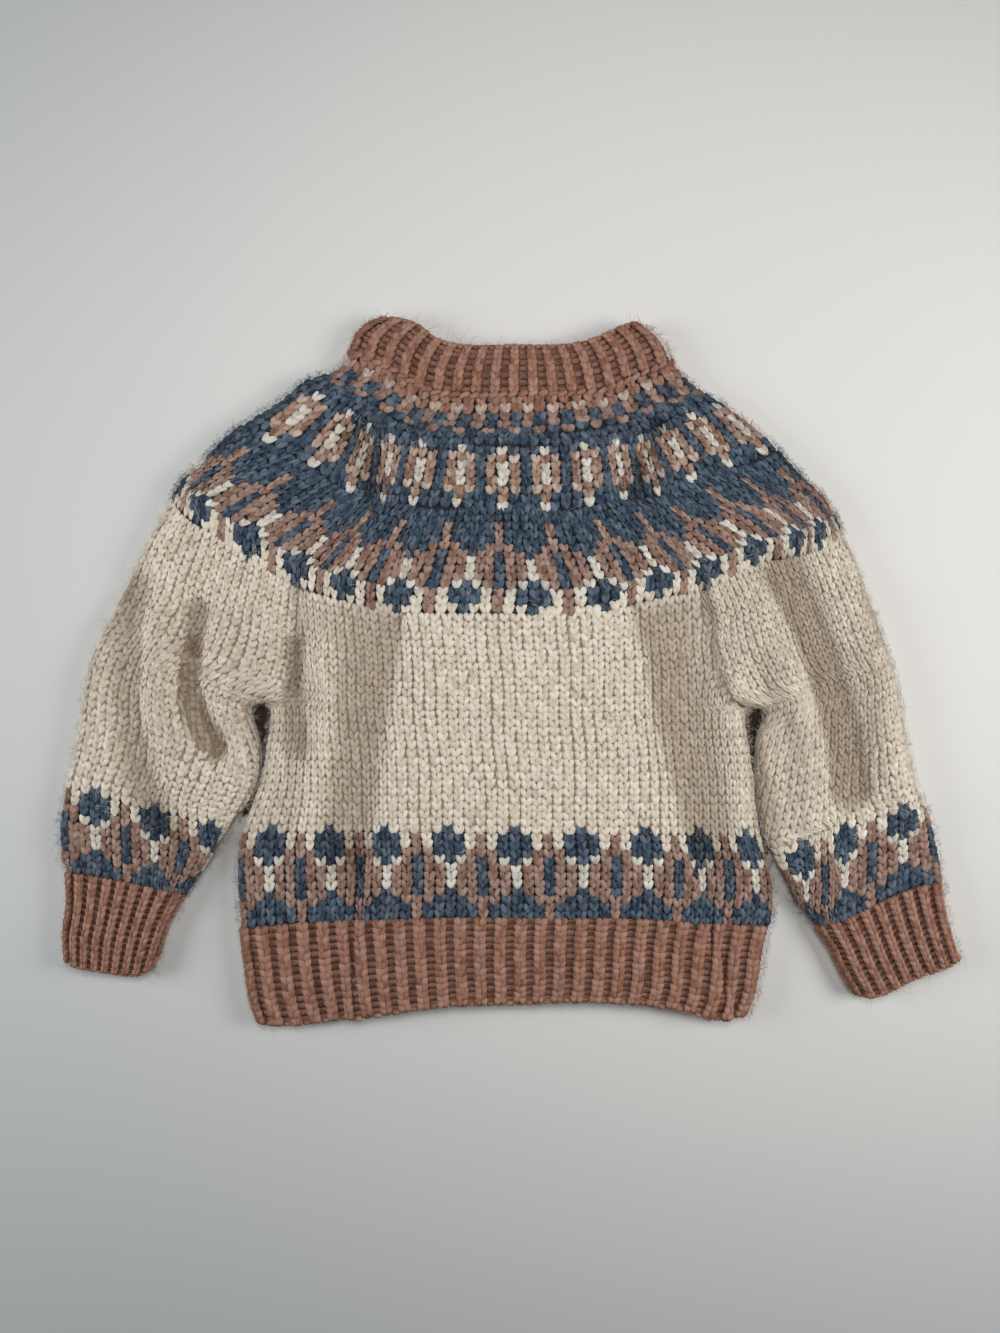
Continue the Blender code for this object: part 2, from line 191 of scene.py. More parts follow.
# Lines down the body, outside which the upper layer drops and slowly comes back: drop, shoulder, way back,
# then the line as x, y pairs
STEPS = [
    (7.0, 4.0, 30.0, (-81, -104), (-77, -70), (-71, -27), (-64, 7), (-62, 22)),
    (7.0, 4.0, 30.0, (73, 22), (78, 7), (83, -27), (95, -70), (102, -98)),
]
MIDDLE_RISE = 3.0  # how far the middle of the body stands up between them
STEP_FADE = 14  # over which a step's ends die out
MIDDLE_TOP, MIDDLE_FADE = 40, 8  # y up to which it stands up, and how softly that ends
FLOOR_BEND = 1.2  # how sharply a crease's bottom turns flat, per millimetre
CENTRE = np.array([0.352, 0.73, 0.0])  # middle of the garment box, on the table

# %% [markdown]
# ## Smooth lines through the tables
# A garment's edge has no corners where a maker measured it. Each table becomes one smooth curve, which
# passes through its places, and evenly spaced points on it are easy to interpolate later.

# %% Smooth edge lines
def even(line, count):
    """The same line as places evenly spaced along it, with whatever other columns it has."""
    along = np.concatenate([[0], np.cumsum(np.linalg.norm(np.diff(line[:, :2], axis=0), axis=1))])
    return columns_at(np.linspace(0, along[-1], count), along, line)


def columns_at(at, knots, table):
    return np.stack([np.interp(at, knots, column) for column in table.T], axis=-1)


def smooth(points, steps=24):
    """A smooth line through the points, with this many steps from each to the next."""
    p = np.array(points, float)
    p = np.vstack([2 * p[0] - p[1], p, 2 * p[-1] - p[-2]])
    t = np.linspace(0, 1, steps, endpoint=False)[:, None]
    runs = [
        0.5 * (2 * b + (c - a) * t + (2 * a - 5 * b + 4 * c - d) * t**2 + (3 * b - a - 3 * c + d) * t**3)
        for a, b, c, d in zip(p[:-3], p[1:-2], p[2:-1], p[3:])
    ]
    return np.vstack(runs + [p[-2:-1]])


def stretches_of(table, side, steps=24):
    """One smooth line through a table's stretches, cut back into them: x, y and the way out of the cloth."""
    points, ends = [], [0]
    for stretch in table.values():
        points += stretch[1:] if points and points[-1] == stretch[0] else stretch
        ends.append(len(points) - 1)
    line = smooth(points, steps)
    ahead = np.gradient(line, axis=0)
    ahead /= np.linalg.norm(ahead, axis=1, keepdims=True)
    out = np.column_stack([ahead[:, 1], -ahead[:, 0]]) * (1 if side == "left" else -1)
    line = np.hstack([line, out])
    return {name: even(line[steps * a : steps * b + 1], 161) for name, a, b in zip(table, ends, ends[1:])}


OUTER_LINES = {side: stretches_of(table, side) for side, table in OUTER.items()}
INNER_LINES = {side: stretches_of(table, side) for side, table in INNER.items()}


def straight(table):
    return even(smooth(table), 161)


print("smooth line of the left sleeve's fold:", OUTER_LINES["left"]["sleeve"].shape)
# %% Short steps along the side folds
def fold_segments():
    """Ends of the short straight steps along every side fold."""
    starts, ends = [], []
    for lines in (*OUTER_LINES.values(), *INNER_LINES.values()):
        line = even(np.vstack(list(lines.values()))[:, :2], 150)
        starts.append(line[:-1])
        ends.append(line[1:])
    return np.vstack(starts), np.vstack(ends)


FOLD_A, FOLD_B = fold_segments()
print("side folds:", len(FOLD_A), "short steps")

# %% [markdown]
# ## How high the cloth lies
# Two layers lie on each other, and each side fold is a round between them. The height over a place on the
# table is worked out from how far it is from the nearest side fold, and from the soft creases of the upper
# layer.

# %% Height over the table
def segment_distance(p, a, b):
    """How far each place is from each straight step, as places x steps."""
    d = b - a
    t = ((p[:, None] - a) * d).sum(2) / np.maximum((d * d).sum(1), 1e-9)
    return np.linalg.norm(p[:, None] - a - np.clip(t, 0, 1)[:, :, None] * d, axis=2)


def fold_distance(p):
    return segment_distance(p, FOLD_A, FOLD_B).min(axis=1)


def beside(p, line):
    """How far each place is from a line, positive on the left of its course, and how far past its ends."""
    a, d = line[:-1], np.diff(line, axis=0)
    t = ((p[:, None] - a) * d).sum(2) / (d * d).sum(1)
    far = segment_distance(p, a, line[1:])
    near, each = far.argmin(axis=1), np.arange(len(p))
    side = np.sign(d[near, 0] * (p - a[near])[:, 1] - d[near, 1] * (p - a[near])[:, 0])
    before, after = np.maximum(-t[:, 0], 0), np.maximum(t[:, -1] - 1, 0)
    past = before * np.linalg.norm(d[0]) + after * np.linalg.norm(d[-1])
    return far[each, near] * side, past

# %% Height of the upper layer
def upper_height(p):
    """How high the upper layer lies away from the side folds. It never lies lower than the least height."""
    height = np.full(len(p), BASE_HEIGHT)
    middle = 1 / (1 + np.exp((p[:, 1] - MIDDLE_TOP) / MIDDLE_FADE))
    for drop, shoulder, back, *line in STEPS:
        far, past = beside(p, np.array(line, float))
        outside = 1 / (1 + np.exp(-2 * far / (shoulder + SOFTER)))
        height -= drop * outside * np.exp(-np.maximum(far, 0) / back - (past / STEP_FADE) ** 2)
        middle *= 1 - outside
    height += MIDDLE_RISE * middle
    for rise, half_width, *line in FOLDS:
        line = np.array(line, float)
        far = segment_distance(p, line[:-1], line[1:]).min(axis=1)
        height += rise * np.exp(-((far / half_width) ** 2))
    return LEAST_HEIGHT + np.logaddexp(0, (height - LEAST_HEIGHT) * FLOOR_BEND) / FLOOR_BEND

# %% Height and tilt of both faces
def reach(distance, width):
    """0 at a side fold and 1 where its round ends."""
    return np.sqrt(1 - (1 - np.clip(distance / width, 0, 1)) ** 2)


def lift(p, face):
    """Height of the cloth's outside over a place, for its upper face (1) or the one on the table (-1)."""
    far = fold_distance(p)
    if face > 0:
        return FOLD_HEIGHT + (upper_height(p) - FOLD_HEIGHT) * reach(far, UPPER_WIDTH)
    return FOLD_HEIGHT * (1 - reach(far, FOLD_WIDTH))


def tilt(p, face, step=0.2):
    """Unit normals out of the cloth's outside."""
    dx, dy = np.array([step, 0]), np.array([0, step])
    slope_x = (lift(p + dx, face) - lift(p - dx, face)) / (2 * step)
    slope_y = (lift(p + dy, face) - lift(p - dy, face)) / (2 * step)
    n = np.stack([-slope_x, -slope_y, np.ones(len(p))], axis=1) * face
    return n / np.linalg.norm(n, axis=1, keepdims=True)


print("cloth over the middle of the body:", lift(np.array([[0.0, -40.0]]), 1).round(2), "mm high")

# %% A stretch of knitting as a surface patch
class Piece:
    """A stretch of knitting between two edges across it and two lines up its sides."""

    def __init__(self, start, end, left, right):
        self.edges = start, end
        self.sides = left, right

    def across(self, which, u):
        line = self.edges[which]
        return columns_at(u, np.linspace(0, 1, len(line)), line)

    def up(self, which, v):
        """Place on a side line, which an armhole may part into (below, above)."""
        if not isinstance(self.sides[which], tuple):
            whole = self.sides[which]
            return columns_at(v, np.linspace(0, 1, len(whole)), whole[:, :2])
        below, above = self.sides[which]
        climb = np.maximum.accumulate(above[:, 1] - above[0, 1])  # its rows go mostly by how far up it is
        climb += 0.15 * np.linspace(0, climb[-1], len(above))
        over = UNDERARM + (1 - UNDERARM) * (climb / climb[-1])[1:]
        knots = np.concatenate([np.linspace(0, UNDERARM, len(below)), over])
        return columns_at(v, knots, np.vstack([below[:, :2], above[1:]]))

    def place(self, u, v):
        """Places on the table for shares across (u) and along (v): a surface patch through the four sides."""
        u, v = np.asarray(u, float), np.asarray(v, float)
        a, b = u[..., None], v[..., None]
        start, end = self.across(0, u), self.across(1, u)
        left, right = self.up(0, v), self.up(1, v)
        corners = [self.across(which, np.array(share)) for which in (0, 1) for share in (0.0, 1.0)]
        parts = (1 - a) * (1 - b), a * (1 - b), (1 - a) * b, a * b
        middle = (1 - b) * start + b * end + (1 - a) * left + a * right
        for part, corner in zip(parts, corners):
            middle = middle - part * corner
        return middle

    def shares(self, v, count, face):
        """Shares across that space a shell's columns evenly over the cloth, but closer at its side folds."""
        gap = SEAM_GAP / np.linalg.norm(self.across(0, np.array(1.0)) - self.across(0, np.array(0.0)))
        u = np.linspace(gap, 1 - gap, 241)
        p = self.place(u, np.full_like(u, v))
        points = np.column_stack([p, lift(p, face)])
        steps = np.linalg.norm(np.diff(points, axis=0), axis=1)
        middle = (p[1:] + p[:-1]) / 2
        to_end = np.minimum(*(np.linalg.norm(middle - end, axis=1) for end in (p[0], p[-1])))
        steps *= 1 + 2 * np.exp(-((to_end / FOLD_WIDTH) ** 2))
        along = np.concatenate([[0], np.cumsum(steps)])
        return np.interp(np.linspace(0, along[-1], count + 1), along, u)

    def outward(self, column, v):
        """Level direction out of a side fold."""
        line = self.sides[0 if column == 0 else 1]
        below, end = (line[0], UNDERARM) if isinstance(line, tuple) else (line, 1)
        return np.array([*columns_at(v, np.linspace(0, end, len(below)), below)[2:], 0.0])

# %% [markdown]
# ## The eight pieces
# A patch is stretched between the row where a piece starts, the row where it ends and its two sides. Above
# the armholes the body and the sleeves meet along the raglan lines, and elsewhere their sides are folds.

# %% Patches for the eight pieces
edge = {name: straight(table) for name, table in YOKE_EDGE.items()}
raglan = {side: straight(table) for side, table in RAGLAN.items()}
band_base, band_top = straight(BAND_BASE), straight(BAND_TOP)
hem_top, hem_end = straight(HEM_TOP), straight(HEM_END)
yoke_edge = even(np.vstack([edge["left"], edge["body"][1:], edge["right"][1:]]), 321)

SIDES = ("left", "right")


def both(lines, stretch):
    """A stretch of the left and of the right side fold, from its lower end up."""
    return [lines[side][stretch][::-1] for side in SIDES]


PIECES = {
    "hem_rib": Piece(hem_end, hem_top, *both(INNER_LINES, "hem")),
    "body": Piece(hem_top, edge["body"], *zip(both(INNER_LINES, "body"), raglan.values())),
    "yoke": Piece(yoke_edge, band_base, *both(OUTER_LINES, "yoke")),
    "neckband": Piece(band_base, band_top, *both(OUTER_LINES, "band")),
}
for side in SIDES:
    turn = 1 if side == "left" else -1
    cuff_top, cuff_end = straight(CUFF_TOP[side]), straight(CUFF_END[side])
    sleeve_sides = (OUTER_LINES[side]["sleeve"][::-1], (INNER_LINES[side]["sleeve"], raglan[side]))
    cuff_sides = (OUTER_LINES[side]["cuff"][::-1], INNER_LINES[side]["cuff"])
    PIECES[f"sleeve_{side}"] = Piece(cuff_top, edge[side], *sleeve_sides[::turn])
    PIECES[f"cuff_{side}"] = Piece(cuff_end, cuff_top, *cuff_sides[::turn])

# %% Where the two faces meet
def shared_sides(name, v):
    """Whether the upper and lower face meet at the left and right side of a row."""
    below = v <= UNDERARM + 1e-6
    parted = {"body": (below, below), "sleeve_left": (True, below), "sleeve_right": (below, True)}
    return parted.get(name, (True, True))


print("patches:", ", ".join(PIECES))

# %% [markdown]
# ## Rows and columns of stitches
# Hand knitting keeps one column of stitches above another, so columns are counted across each face and rows
# are counted up it. Places between counted marks are shared out evenly over the cloth, also round the side
# folds. The marks are where the centres of the motifs lie, because a laid-out jumper never lies quite
# evenly.

# %% Stitch counts
ROWS = {
    "hem_rib": 14, "body": 42, "sleeve_left": 50, "sleeve_right": 50,
    "cuff_left": 14, "cuff_right": 14, "yoke": 29, "neckband": 8,
}
TUBES = ("body", "sleeve_left", "sleeve_right")  # the pieces with the band of flowers at their lower end
REPEAT = 6  # stitches in one repeat of the bands
BODY_FLOWERS = [-139.4, -101.7, -70.4, -33.9, 3.7, 41.3, 78.4, 109.7, 141.1]  # x of the flowers over the hem
SLEEVE_FLOWERS = {"left": [-234.6, -202.1, -169.0], "right": [168.4, 189.5, 222.6]}
YOKE_FLOWERS = [-178.7, -149.1, -120.6, -96.0, -64.7, -25.4, 12.8, 53.3, 85.8, 112.6, 139.4, 164.4, 176.4]
MEDALLION_FEET = [-137, -116, -86, -73, -57, -31.5, -4.5, 20, 47, 69, 81, 105.5, 127, 143.5]
MEDALLION_TIPS = [-103.5, -87.5, -79.5, -70.5, -47.5, -28.5, -3, 21, 40.5, 62, 74, 84.5, 102, 120]
MEDALLION_ROW, PLAIN_ROW, RING_ROW = 14, 22, 24  # rows of the yoke at which its next band starts
MEDALLION_AT, PLAIN_AT = 0.4375, 0.744  # shares of the yoke's height, whose rows are taller where stretched
YOKE_LEVELS = [(0, 0), (MEDALLION_ROW, MEDALLION_AT), (PLAIN_ROW, PLAIN_AT), (ROWS["yoke"], 1)]
BODY_COLUMNS, CUFF_COLUMNS, BAND_COLUMNS, RING_COLUMNS = 54, 18, 36, 30
SLEEVE_COLUMNS = {"left": 20, "right": 25}
LEAN_FROM = 0.2  # share of the body's height from which its columns lean towards those of the yoke
FLOWER_AT = 0.08  # share of the yoke's height up to which its columns follow the flowers
RAGLAN_LOSS = {"left": 6.3, "right": 6.7}  # columns that the body loses along its raglan lines
OVER_SLEEVE = 3.05  # repeats of the yoke between its left side fold and the body


print("rows:", ROWS)
# %% Bands of rows, their ends and marks
class Band:
    """Some rows of a piece with one count of columns, the columns that lie in each row, and marks."""

    def __init__(self, first, last, columns, ends=None, marks=None):
        self.first, self.last, self.columns = first, last, columns
        self.ends = ends or (lambda v: (0, columns))
        self.marks = marks or (lambda v: [])


def body_marks(v):
    """The flowers over the hem, whose columns lean a little on the way up to meet those of the yoke."""
    numbers = 3.5 + REPEAT * np.arange(1, 8)
    repeats = OVER_SLEEVE + (numbers - RAGLAN_LOSS["left"]) / REPEAT
    high = np.interp(repeats, np.arange(1, 14), YOKE_FLOWERS)
    share = np.clip((v - LEAN_FROM) / 0.8, 0, 1)
    return list(zip(numbers, (1 - share) * np.array(BODY_FLOWERS[1:-1]) + share * high))


def body_ends(v):
    knots = [UNDERARM, 0.755, 1.0]
    lost = [np.interp(v, knots, [0, 5.0, loss]) for loss in RAGLAN_LOSS.values()]
    return lost[0], BODY_COLUMNS - lost[1]


def sleeve_ends(side):
    columns = SLEEVE_COLUMNS[side]

    def ends(v):
        n = np.interp(v, [0.24, UNDERARM, 1.0], [CUFF_COLUMNS, columns, columns - 0.6])
        return (0, n) if side == "left" else (columns - n, columns)

    return ends


def sleeve_marks(side):
    columns = SLEEVE_COLUMNS[side]
    numbers = [3.5, 9.5, 15.5] if side == "left" else [columns - 15.5, columns - 9.5, columns - 3.5]
    return lambda v: list(zip(numbers, SLEEVE_FLOWERS[side])) if v < 0.26 else []

# %% Bands of the yoke and of every piece
def yoke_marks(v):
    """(repeat, x) pairs at a row of the yoke, from the flowers at its foot to the medallions."""
    repeats = np.arange(1, 14)
    feet, tips = (np.interp(repeats, np.arange(14) + 0.5, x) for x in (MEDALLION_FEET, MEDALLION_TIPS))
    heights = [FLOWER_AT, MEDALLION_AT, PLAIN_AT]
    return [(k, np.interp(v, heights, xs)) for k, *xs in zip(repeats, YOKE_FLOWERS, feet, tips)]


def yoke_band(first, last, per_repeat, marked=True):
    marks = (lambda v: [(per_repeat * k + 0.5, x) for k, x in yoke_marks(v)]) if marked else None
    return Band(first, last, 14 * per_repeat, marks=marks)


BANDS = {
    "hem_rib": [Band(0, 14, BODY_COLUMNS)],
    "body": [Band(0, 42, BODY_COLUMNS, body_ends, body_marks)],
    "sleeve_left": [Band(0, 50, SLEEVE_COLUMNS["left"], sleeve_ends("left"), sleeve_marks("left"))],
    "sleeve_right": [Band(0, 50, SLEEVE_COLUMNS["right"], sleeve_ends("right"), sleeve_marks("right"))],
    "cuff_left": [Band(0, 14, CUFF_COLUMNS)],
    "cuff_right": [Band(0, 14, CUFF_COLUMNS)],
    "yoke": [
        yoke_band(0, MEDALLION_ROW, 6), yoke_band(MEDALLION_ROW, PLAIN_ROW, 4),
        yoke_band(PLAIN_ROW, RING_ROW, 3, False), Band(RING_ROW, ROWS["yoke"], RING_COLUMNS),
    ],
    "neckband": [Band(0, 8, BAND_COLUMNS)],
}
print("columns on the face that shows:", {name: bands[0].columns for name, bands in BANDS.items()})

# %% Lay out half-stitch grids
SAMPLES = 201  # places worked out along each row, closer together near its ends
spread = 0.5 - 0.5 * np.cos(np.pi * np.linspace(0, 1, SAMPLES))


def row_points(name, v, face):
    """The cloth's outside along one row, from its left side to its right."""
    p = PIECES[name].place(spread, np.full(SAMPLES, v))
    z = lift(p, face)
    for column, here in zip((0, -1), shared_sides(name, v)):
        if here:
            z[column] = FOLD_HEIGHT
    return np.column_stack([p, z])


def half_columns(points, band, v, marked):
    """Places of every half column of a row."""
    along = np.concatenate([[0], np.cumsum(np.linalg.norm(np.diff(points, axis=0), axis=1))])
    first, last = band.ends(v)
    numbers, at = [first], [0.0]
    for number, x in band.marks(v) if marked else []:
        if first + 1.5 < number < last - 1.5:
            numbers.append(number)
            at.append(np.interp(x, points[:, 0], along))
    places = np.interp(np.arange(2 * band.columns + 1) / 2, numbers + [last], at + [along[-1]])
    return columns_at(places, along, points)


def unit(vectors):
    return vectors / np.maximum(np.linalg.norm(vectors, axis=-1, keepdims=True), 1e-9)

# %% A grid for every band and face
def stitch_grid(name, band, face):
    """Places and outward directions at each half row and half column of a band, in millimetres."""
    rows = 2 * (band.last - band.first) + 1
    vs = np.linspace(band.first, band.last, rows) / ROWS[name]
    if name == "yoke":
        vs = np.interp(vs * ROWS[name], *zip(*YOKE_LEVELS))
    places = np.array([half_columns(row_points(name, v, face), band, v, face > 0) for v in vs])
    out = unit(np.cross(np.gradient(places, axis=1), np.gradient(places, axis=0))) * face
    for r, v in enumerate(vs):
        for column, here in zip((0, -1), shared_sides(name, v)):
            if here:
                out[r, column] = PIECES[name].outward(column, v)
    return places, out


grids = {
    (name, face, k): stitch_grid(name, band, face)
    for name, bands in BANDS.items() for face in (1, -1) for k, band in enumerate(bands)
}
print("grids:", len(grids), "with", sum(places[..., 0].size for places, _ in grids.values()), "places")

# %% [markdown]
# ## One leg of a stitch
# A knit stitch shows as a V. Each leg is a short stretch of yarn that comes up from under the stitch below,
# swells, leans outwards and goes under the stitch above. A ring of points is swept along it and closed to a
# tip at both ends. All legs of a face are worked out together with arrays, because there are thousands.

# %% Sweep legs of yarn over a grid
rng = np.random.default_rng(54)


def on_grid(values, row, column):
    """Values of a half-stitch grid at fractional rows and columns, also a little beyond its edges."""
    r, c = row * 2, column * 2
    i = np.clip(np.floor(r).astype(int), 0, values.shape[0] - 2)
    j = np.clip(np.floor(c).astype(int), 0, values.shape[1] - 2)
    fr, fc = (r - i)[..., None], (c - j)[..., None]
    return (
        (1 - fr) * ((1 - fc) * values[i, j] + fc * values[i, j + 1])
        + fr * ((1 - fc) * values[i + 1, j] + fc * values[i + 1, j + 1])
    )

# %% A strand and its width
class Strand:
    """A short strand: its line across and up in stitches, its height in mm, and how it swells on its way."""

    def __init__(self, across, up, height, swell, width, depth, sides=6):
        self.across, self.up = np.array(across, float), np.array(up, float)
        self.height, self.swell = np.array(height, float), np.array(swell, float)
        self.width, self.depth, self.sides = width, depth, sides


def like(strand, across, width, depth, sides=6):
    return Strand(across, strand.up, strand.height, strand.swell, width, depth, sides)


def mirrored(strand):
    return like(strand, 1 - strand.across, strand.width, strand.depth, strand.sides)


def stitch_width(places, rows, columns):
    """How wide the stitches at these rows and columns are, in millimetres."""
    left, right = (on_grid(places, rows + 0.5, columns + share) for share in (0.0, 1.0))
    return np.linalg.norm(right - left, axis=-1)


LOWEST = 0.05  # the lower face is pressed flat just above the table
SWAY_ACROSS, SWAY_UP, SWAY_SIZE, SWAY_HEIGHT = 0.04, 0.05, 0.07, 0.13  # how unevenly single legs sit
THINNEST, WIDEST = 1.8, 7.4  # stitches between which a leg's yarn grows with them

# %% Sweep rings of points along every strand
def sweep(strand, grid, rows, columns, loose=1.0, first_row=-1.0):
    """Points of one strand at each row and column, as strands x points x 3, none below the first row."""
    places, out = grid
    n = len(rows)
    drift_x = 0.10 * np.sin(0.43 * rows + 0.9 * np.sin(0.31 * columns)) + 0.07 * np.sin(0.9 * columns + 1.7)
    drift_y = 0.12 * np.sin(0.37 * columns + 1.1 * np.sin(0.23 * rows))
    drift_y = drift_y + 0.08 * np.sin(0.83 * rows + 0.4 * columns)
    across = columns[:, None] + strand.across + (loose * (drift_x + rng.normal(0, SWAY_ACROSS, n)))[:, None]
    up = rows[:, None] + strand.up + (loose * (drift_y + rng.normal(0, SWAY_UP, n)))[:, None]
    up = np.maximum(up, first_row)
    line, normal = on_grid(places, up, across), unit(on_grid(out, up, across))
    size = rng.normal(1, SWAY_SIZE * loose, (n, 1))
    line = line + normal * (strand.height + rng.normal(0, SWAY_HEIGHT * loose, (n, 1)))[..., None]
    side = unit(np.cross(unit(np.gradient(line, axis=1)), normal))
    width = np.clip(stitch_width(places, rows, columns), THINNEST, WIDEST)
    radius = strand.swell * size * strand.width * width[:, None]
    depth = strand.swell * size * strand.depth
    angle = 2 * np.pi * np.arange(strand.sides) / strand.sides + np.pi / strand.sides
    ring = (
        line[:, 1:-1, None]
        + (radius[:, 1:-1, None] * np.cos(angle))[..., None] * side[:, 1:-1, None]
        + (depth[:, 1:-1, None] * np.sin(angle))[..., None] * normal[:, 1:-1, None]
    )
    points = np.concatenate([line[:, :1], ring.reshape(n, -1, 3), line[:, -1:]], axis=1)
    points[..., 2] = np.maximum(points[..., 2], LOWEST)
    return points

# %% Faces between the rings
def strand_faces(rings, sides):
    """Corner numbers of one strand's triangles and quads, with (along, around) of each corner."""
    triangles, quads, tri_uv, quad_uv = [], [], [], []
    last = rings * sides + 1
    for q in range(sides):
        a, b = q, (q + 1) % sides
        triangles += [(0, 1 + b, 1 + a), (last, 1 + (rings - 1) * sides + a, 1 + (rings - 1) * sides + b)]
        tri_uv += [((0, q + 0.5), (1, q + 1), (1, q)), ((rings + 1, q + 0.5), (rings, q), (rings, q + 1))]
        for r in range(rings - 1):
            base = 1 + r * sides
            quads.append((base + a, base + b, base + sides + b, base + sides + a))
            quad_uv.append(((r + 1, q), (r + 1, q + 1), (r + 2, q + 1), (r + 2, q)))
    return np.array(triangles), np.array(quads), np.array(tri_uv, float), np.array(quad_uv, float)

# %% Join strands into one mesh
# the second map holds each strand's amount of painted shade
YARN_MAP, PAINTED_SHADE_MAP, BAKE_MAP = "yarn", "nap", "OFBake"
CELL_MARGIN = 0.06  # left free round a strand in its cell of the bake map


def placed(name, data):
    """A new object in the scene."""
    obj = bpy.data.objects.new(name, data)
    bpy.context.scene.collection.objects.link(obj)
    return obj


class Cloth:
    """Collects strands for one object: points, faces, the yarn of each and how far along it each lies."""

    def __init__(self):
        self.points, self.loops, self.sizes, self.yarns = [], [], [], []
        self.maps = {YARN_MAP: [], PAINTED_SHADE_MAP: [], BAKE_MAP: []}
        self.count = self.strands = 0

    def add(self, points, sides, yarns, along, nap):
        n, size = points.shape[:2]
        rings = (size - 2) // sides
        triangles, quads, tri_uv, quad_uv = strand_faces(rings, sides)
        offset = self.count + size * np.arange(n)[:, None, None]
        start = np.column_stack([along, np.zeros(n)])[:, None, None, :]
        own = (self.strands + np.arange(n))[:, None, None, None]
        for faces, uv in ((triangles, tri_uv), (quads, quad_uv)):
            self.loops.append((faces + offset).reshape(-1))
            self.sizes.append(np.full(n * len(faces), faces.shape[1]))
            self.yarns.append(np.repeat(yarns, len(faces)))
            uv = uv / [rings + 1, sides]
            self.maps[YARN_MAP].append((uv + start).reshape(-1, 2))
            painted_shade_amount = np.broadcast_to(nap[:, None, None], (n, *faces.shape)).reshape(-1)
            self.maps[PAINTED_SHADE_MAP].append(np.column_stack([painted_shade_amount, painted_shade_amount]))
            self.maps[BAKE_MAP].append((own + CELL_MARGIN + (1 - 2 * CELL_MARGIN) * uv).reshape(-1, 2))
        self.points.append(points.reshape(-1, 3))
        self.count += n * size
        self.strands += n

    def make(self, name, materials):
        points = (np.concatenate(self.points) - CENTRE) * MM
        loops, sizes = np.concatenate(self.loops), np.concatenate(self.sizes)
        mesh = bpy.data.meshes.new(name)
        mesh.vertices.add(len(points))
        mesh.vertices.foreach_set("co", points.astype(np.float32).ravel())
        mesh.loops.add(len(loops))
        mesh.loops.foreach_set("vertex_index", loops.astype(np.int32))
        mesh.polygons.add(len(sizes))
        mesh.polygons.foreach_set("loop_start", np.concatenate([[0], np.cumsum(sizes)[:-1]]).astype(np.int32))
        for material in materials:
            mesh.materials.append(material)
        mesh.polygons.foreach_set("material_index", np.concatenate(self.yarns).astype(np.int32))
        mesh.polygons.foreach_set("use_smooth", np.ones(len(sizes), bool))
        cells = math.ceil(math.sqrt(self.strands))
        for label, parts in self.maps.items():
            uv = np.concatenate(parts)
            if label == BAKE_MAP:  # strands lie in one long row, which is folded into a square of cells
                own = np.floor(uv)
                uv = (uv - own + np.column_stack([own[:, 0] % cells, own[:, 1] // cells])) / cells
            mesh.uv_layers.new(name=label).data.foreach_set("uv", uv.astype(np.float32).ravel())
        mesh.update(calc_edges=True)
        mesh.validate()
        return placed(name, mesh)

# %% [markdown]
# ## The charts
# Fair isle knitting is worked from a small chart, one letter a stitch: c cream, w white, r rose, b blue, p
# pale rose, and d dusty rose and t tan rose, where the other yarns' fibres are brushed into the rose. The
# rows are listed from the lowest up. The bands over the hem and the cuffs share one chart of six stitches,
# and the yoke turns the same motif over, follows it with medallions of four, and ends in a ring of two.

# %% Charts of the bands
YARNS = "crbwptd"
BAND_CHART = [
    "bbbbbd", "bbbbbd", "dbbbdd", "ddbddb", "ddwddb", "ddwddb",
    "ddwddb", "dwbwdb", "dbbbdd", "cbbbcd", "cbbbcd", "ccbccc",
]
YOKE_CHART = [
    "ccbccd", "cbbbcd", "wbbbwd", "dwbwdb", "ddwddb", "ddwddb", "ddwddb",
    "ddbddb", "dbbbdd", "bbbbbt", "bbbbbt", "bbbbbt", "bbbbbb", "bbbbbb",
]
MEDALLION_CHART = ["bwbb", "btbb", "ptpb", "twtb", "twtb", "twtb", "ptpb", "bwbb"]
RING_CHART = ["bd", "db", "db", "pr", "rr"]


def letter(name, row, column):
    """The yarn of a stitch, counted from the piece's lowest row and its left side."""
    if name in TUBES:
        return BAND_CHART[row][(column - 1) % REPEAT] if row < len(BAND_CHART) else "c"
    if name == "yoke":
        if row < MEDALLION_ROW:
            return YOKE_CHART[row][(column + 2) % REPEAT]
        if row < PLAIN_ROW:
            return MEDALLION_CHART[row - MEDALLION_ROW][(column - 1) % 4]
        return "b" if row < RING_ROW else RING_CHART[row - RING_ROW][column % 2]
    return "r"


for row in reversed(YOKE_CHART + MEDALLION_CHART):
    print((row * 4)[:18])

# %% [markdown]
# ## Wool
# The yarn is a soft, brushed marl: fibres of several tones lie along it and wind round it, so each leg is
# streaked lengthwise and the tone drifts from one stretch of yarn to the next. One node group makes that
# for every colour. It reads the map laid along the yarn, so streaks follow each leg, and a second map with
# each stitch's amount of painted shade: more in creases and hollows and at the side folds, less as painted
# light beside a few creases. The shade multiplies the colour towards a dark tint. A little sheen stands for
# the halo of fibres.

# %% Node group for marled wool
def new_group(name, inputs):
    """A node group with these inputs, which puts out a colour and a height."""
    group = bpy.data.node_groups.new(name, "ShaderNodeTree")
    for label, value in inputs.items():
        kind = "NodeSocketColor" if isinstance(value, tuple) else "NodeSocketFloat"
        socket = group.interface.new_socket(label, in_out="INPUT", socket_type=kind)
        socket.default_value = value
    for label, kind in (("Color", "NodeSocketColor"), ("Height", "NodeSocketFloat")):
        group.interface.new_socket(label, in_out="OUTPUT", socket_type=kind)
    return group, group.nodes.new("NodeGroupInput").outputs, group.nodes.new("NodeGroupOutput").inputs


def node(tree, kind, inputs=None, **settings):
    """A node with its settings. Each input named gets a value, or a wire from the output given for it."""
    made = tree.nodes.new(kind)
    for key, value in settings.items():
        setattr(made, key, value)
    for key, value in (inputs or {}).items():
        if isinstance(value, bpy.types.NodeSocket):
            tree.links.new(value, made.inputs[key])
        else:
            made.inputs[key].default_value = value
    return made


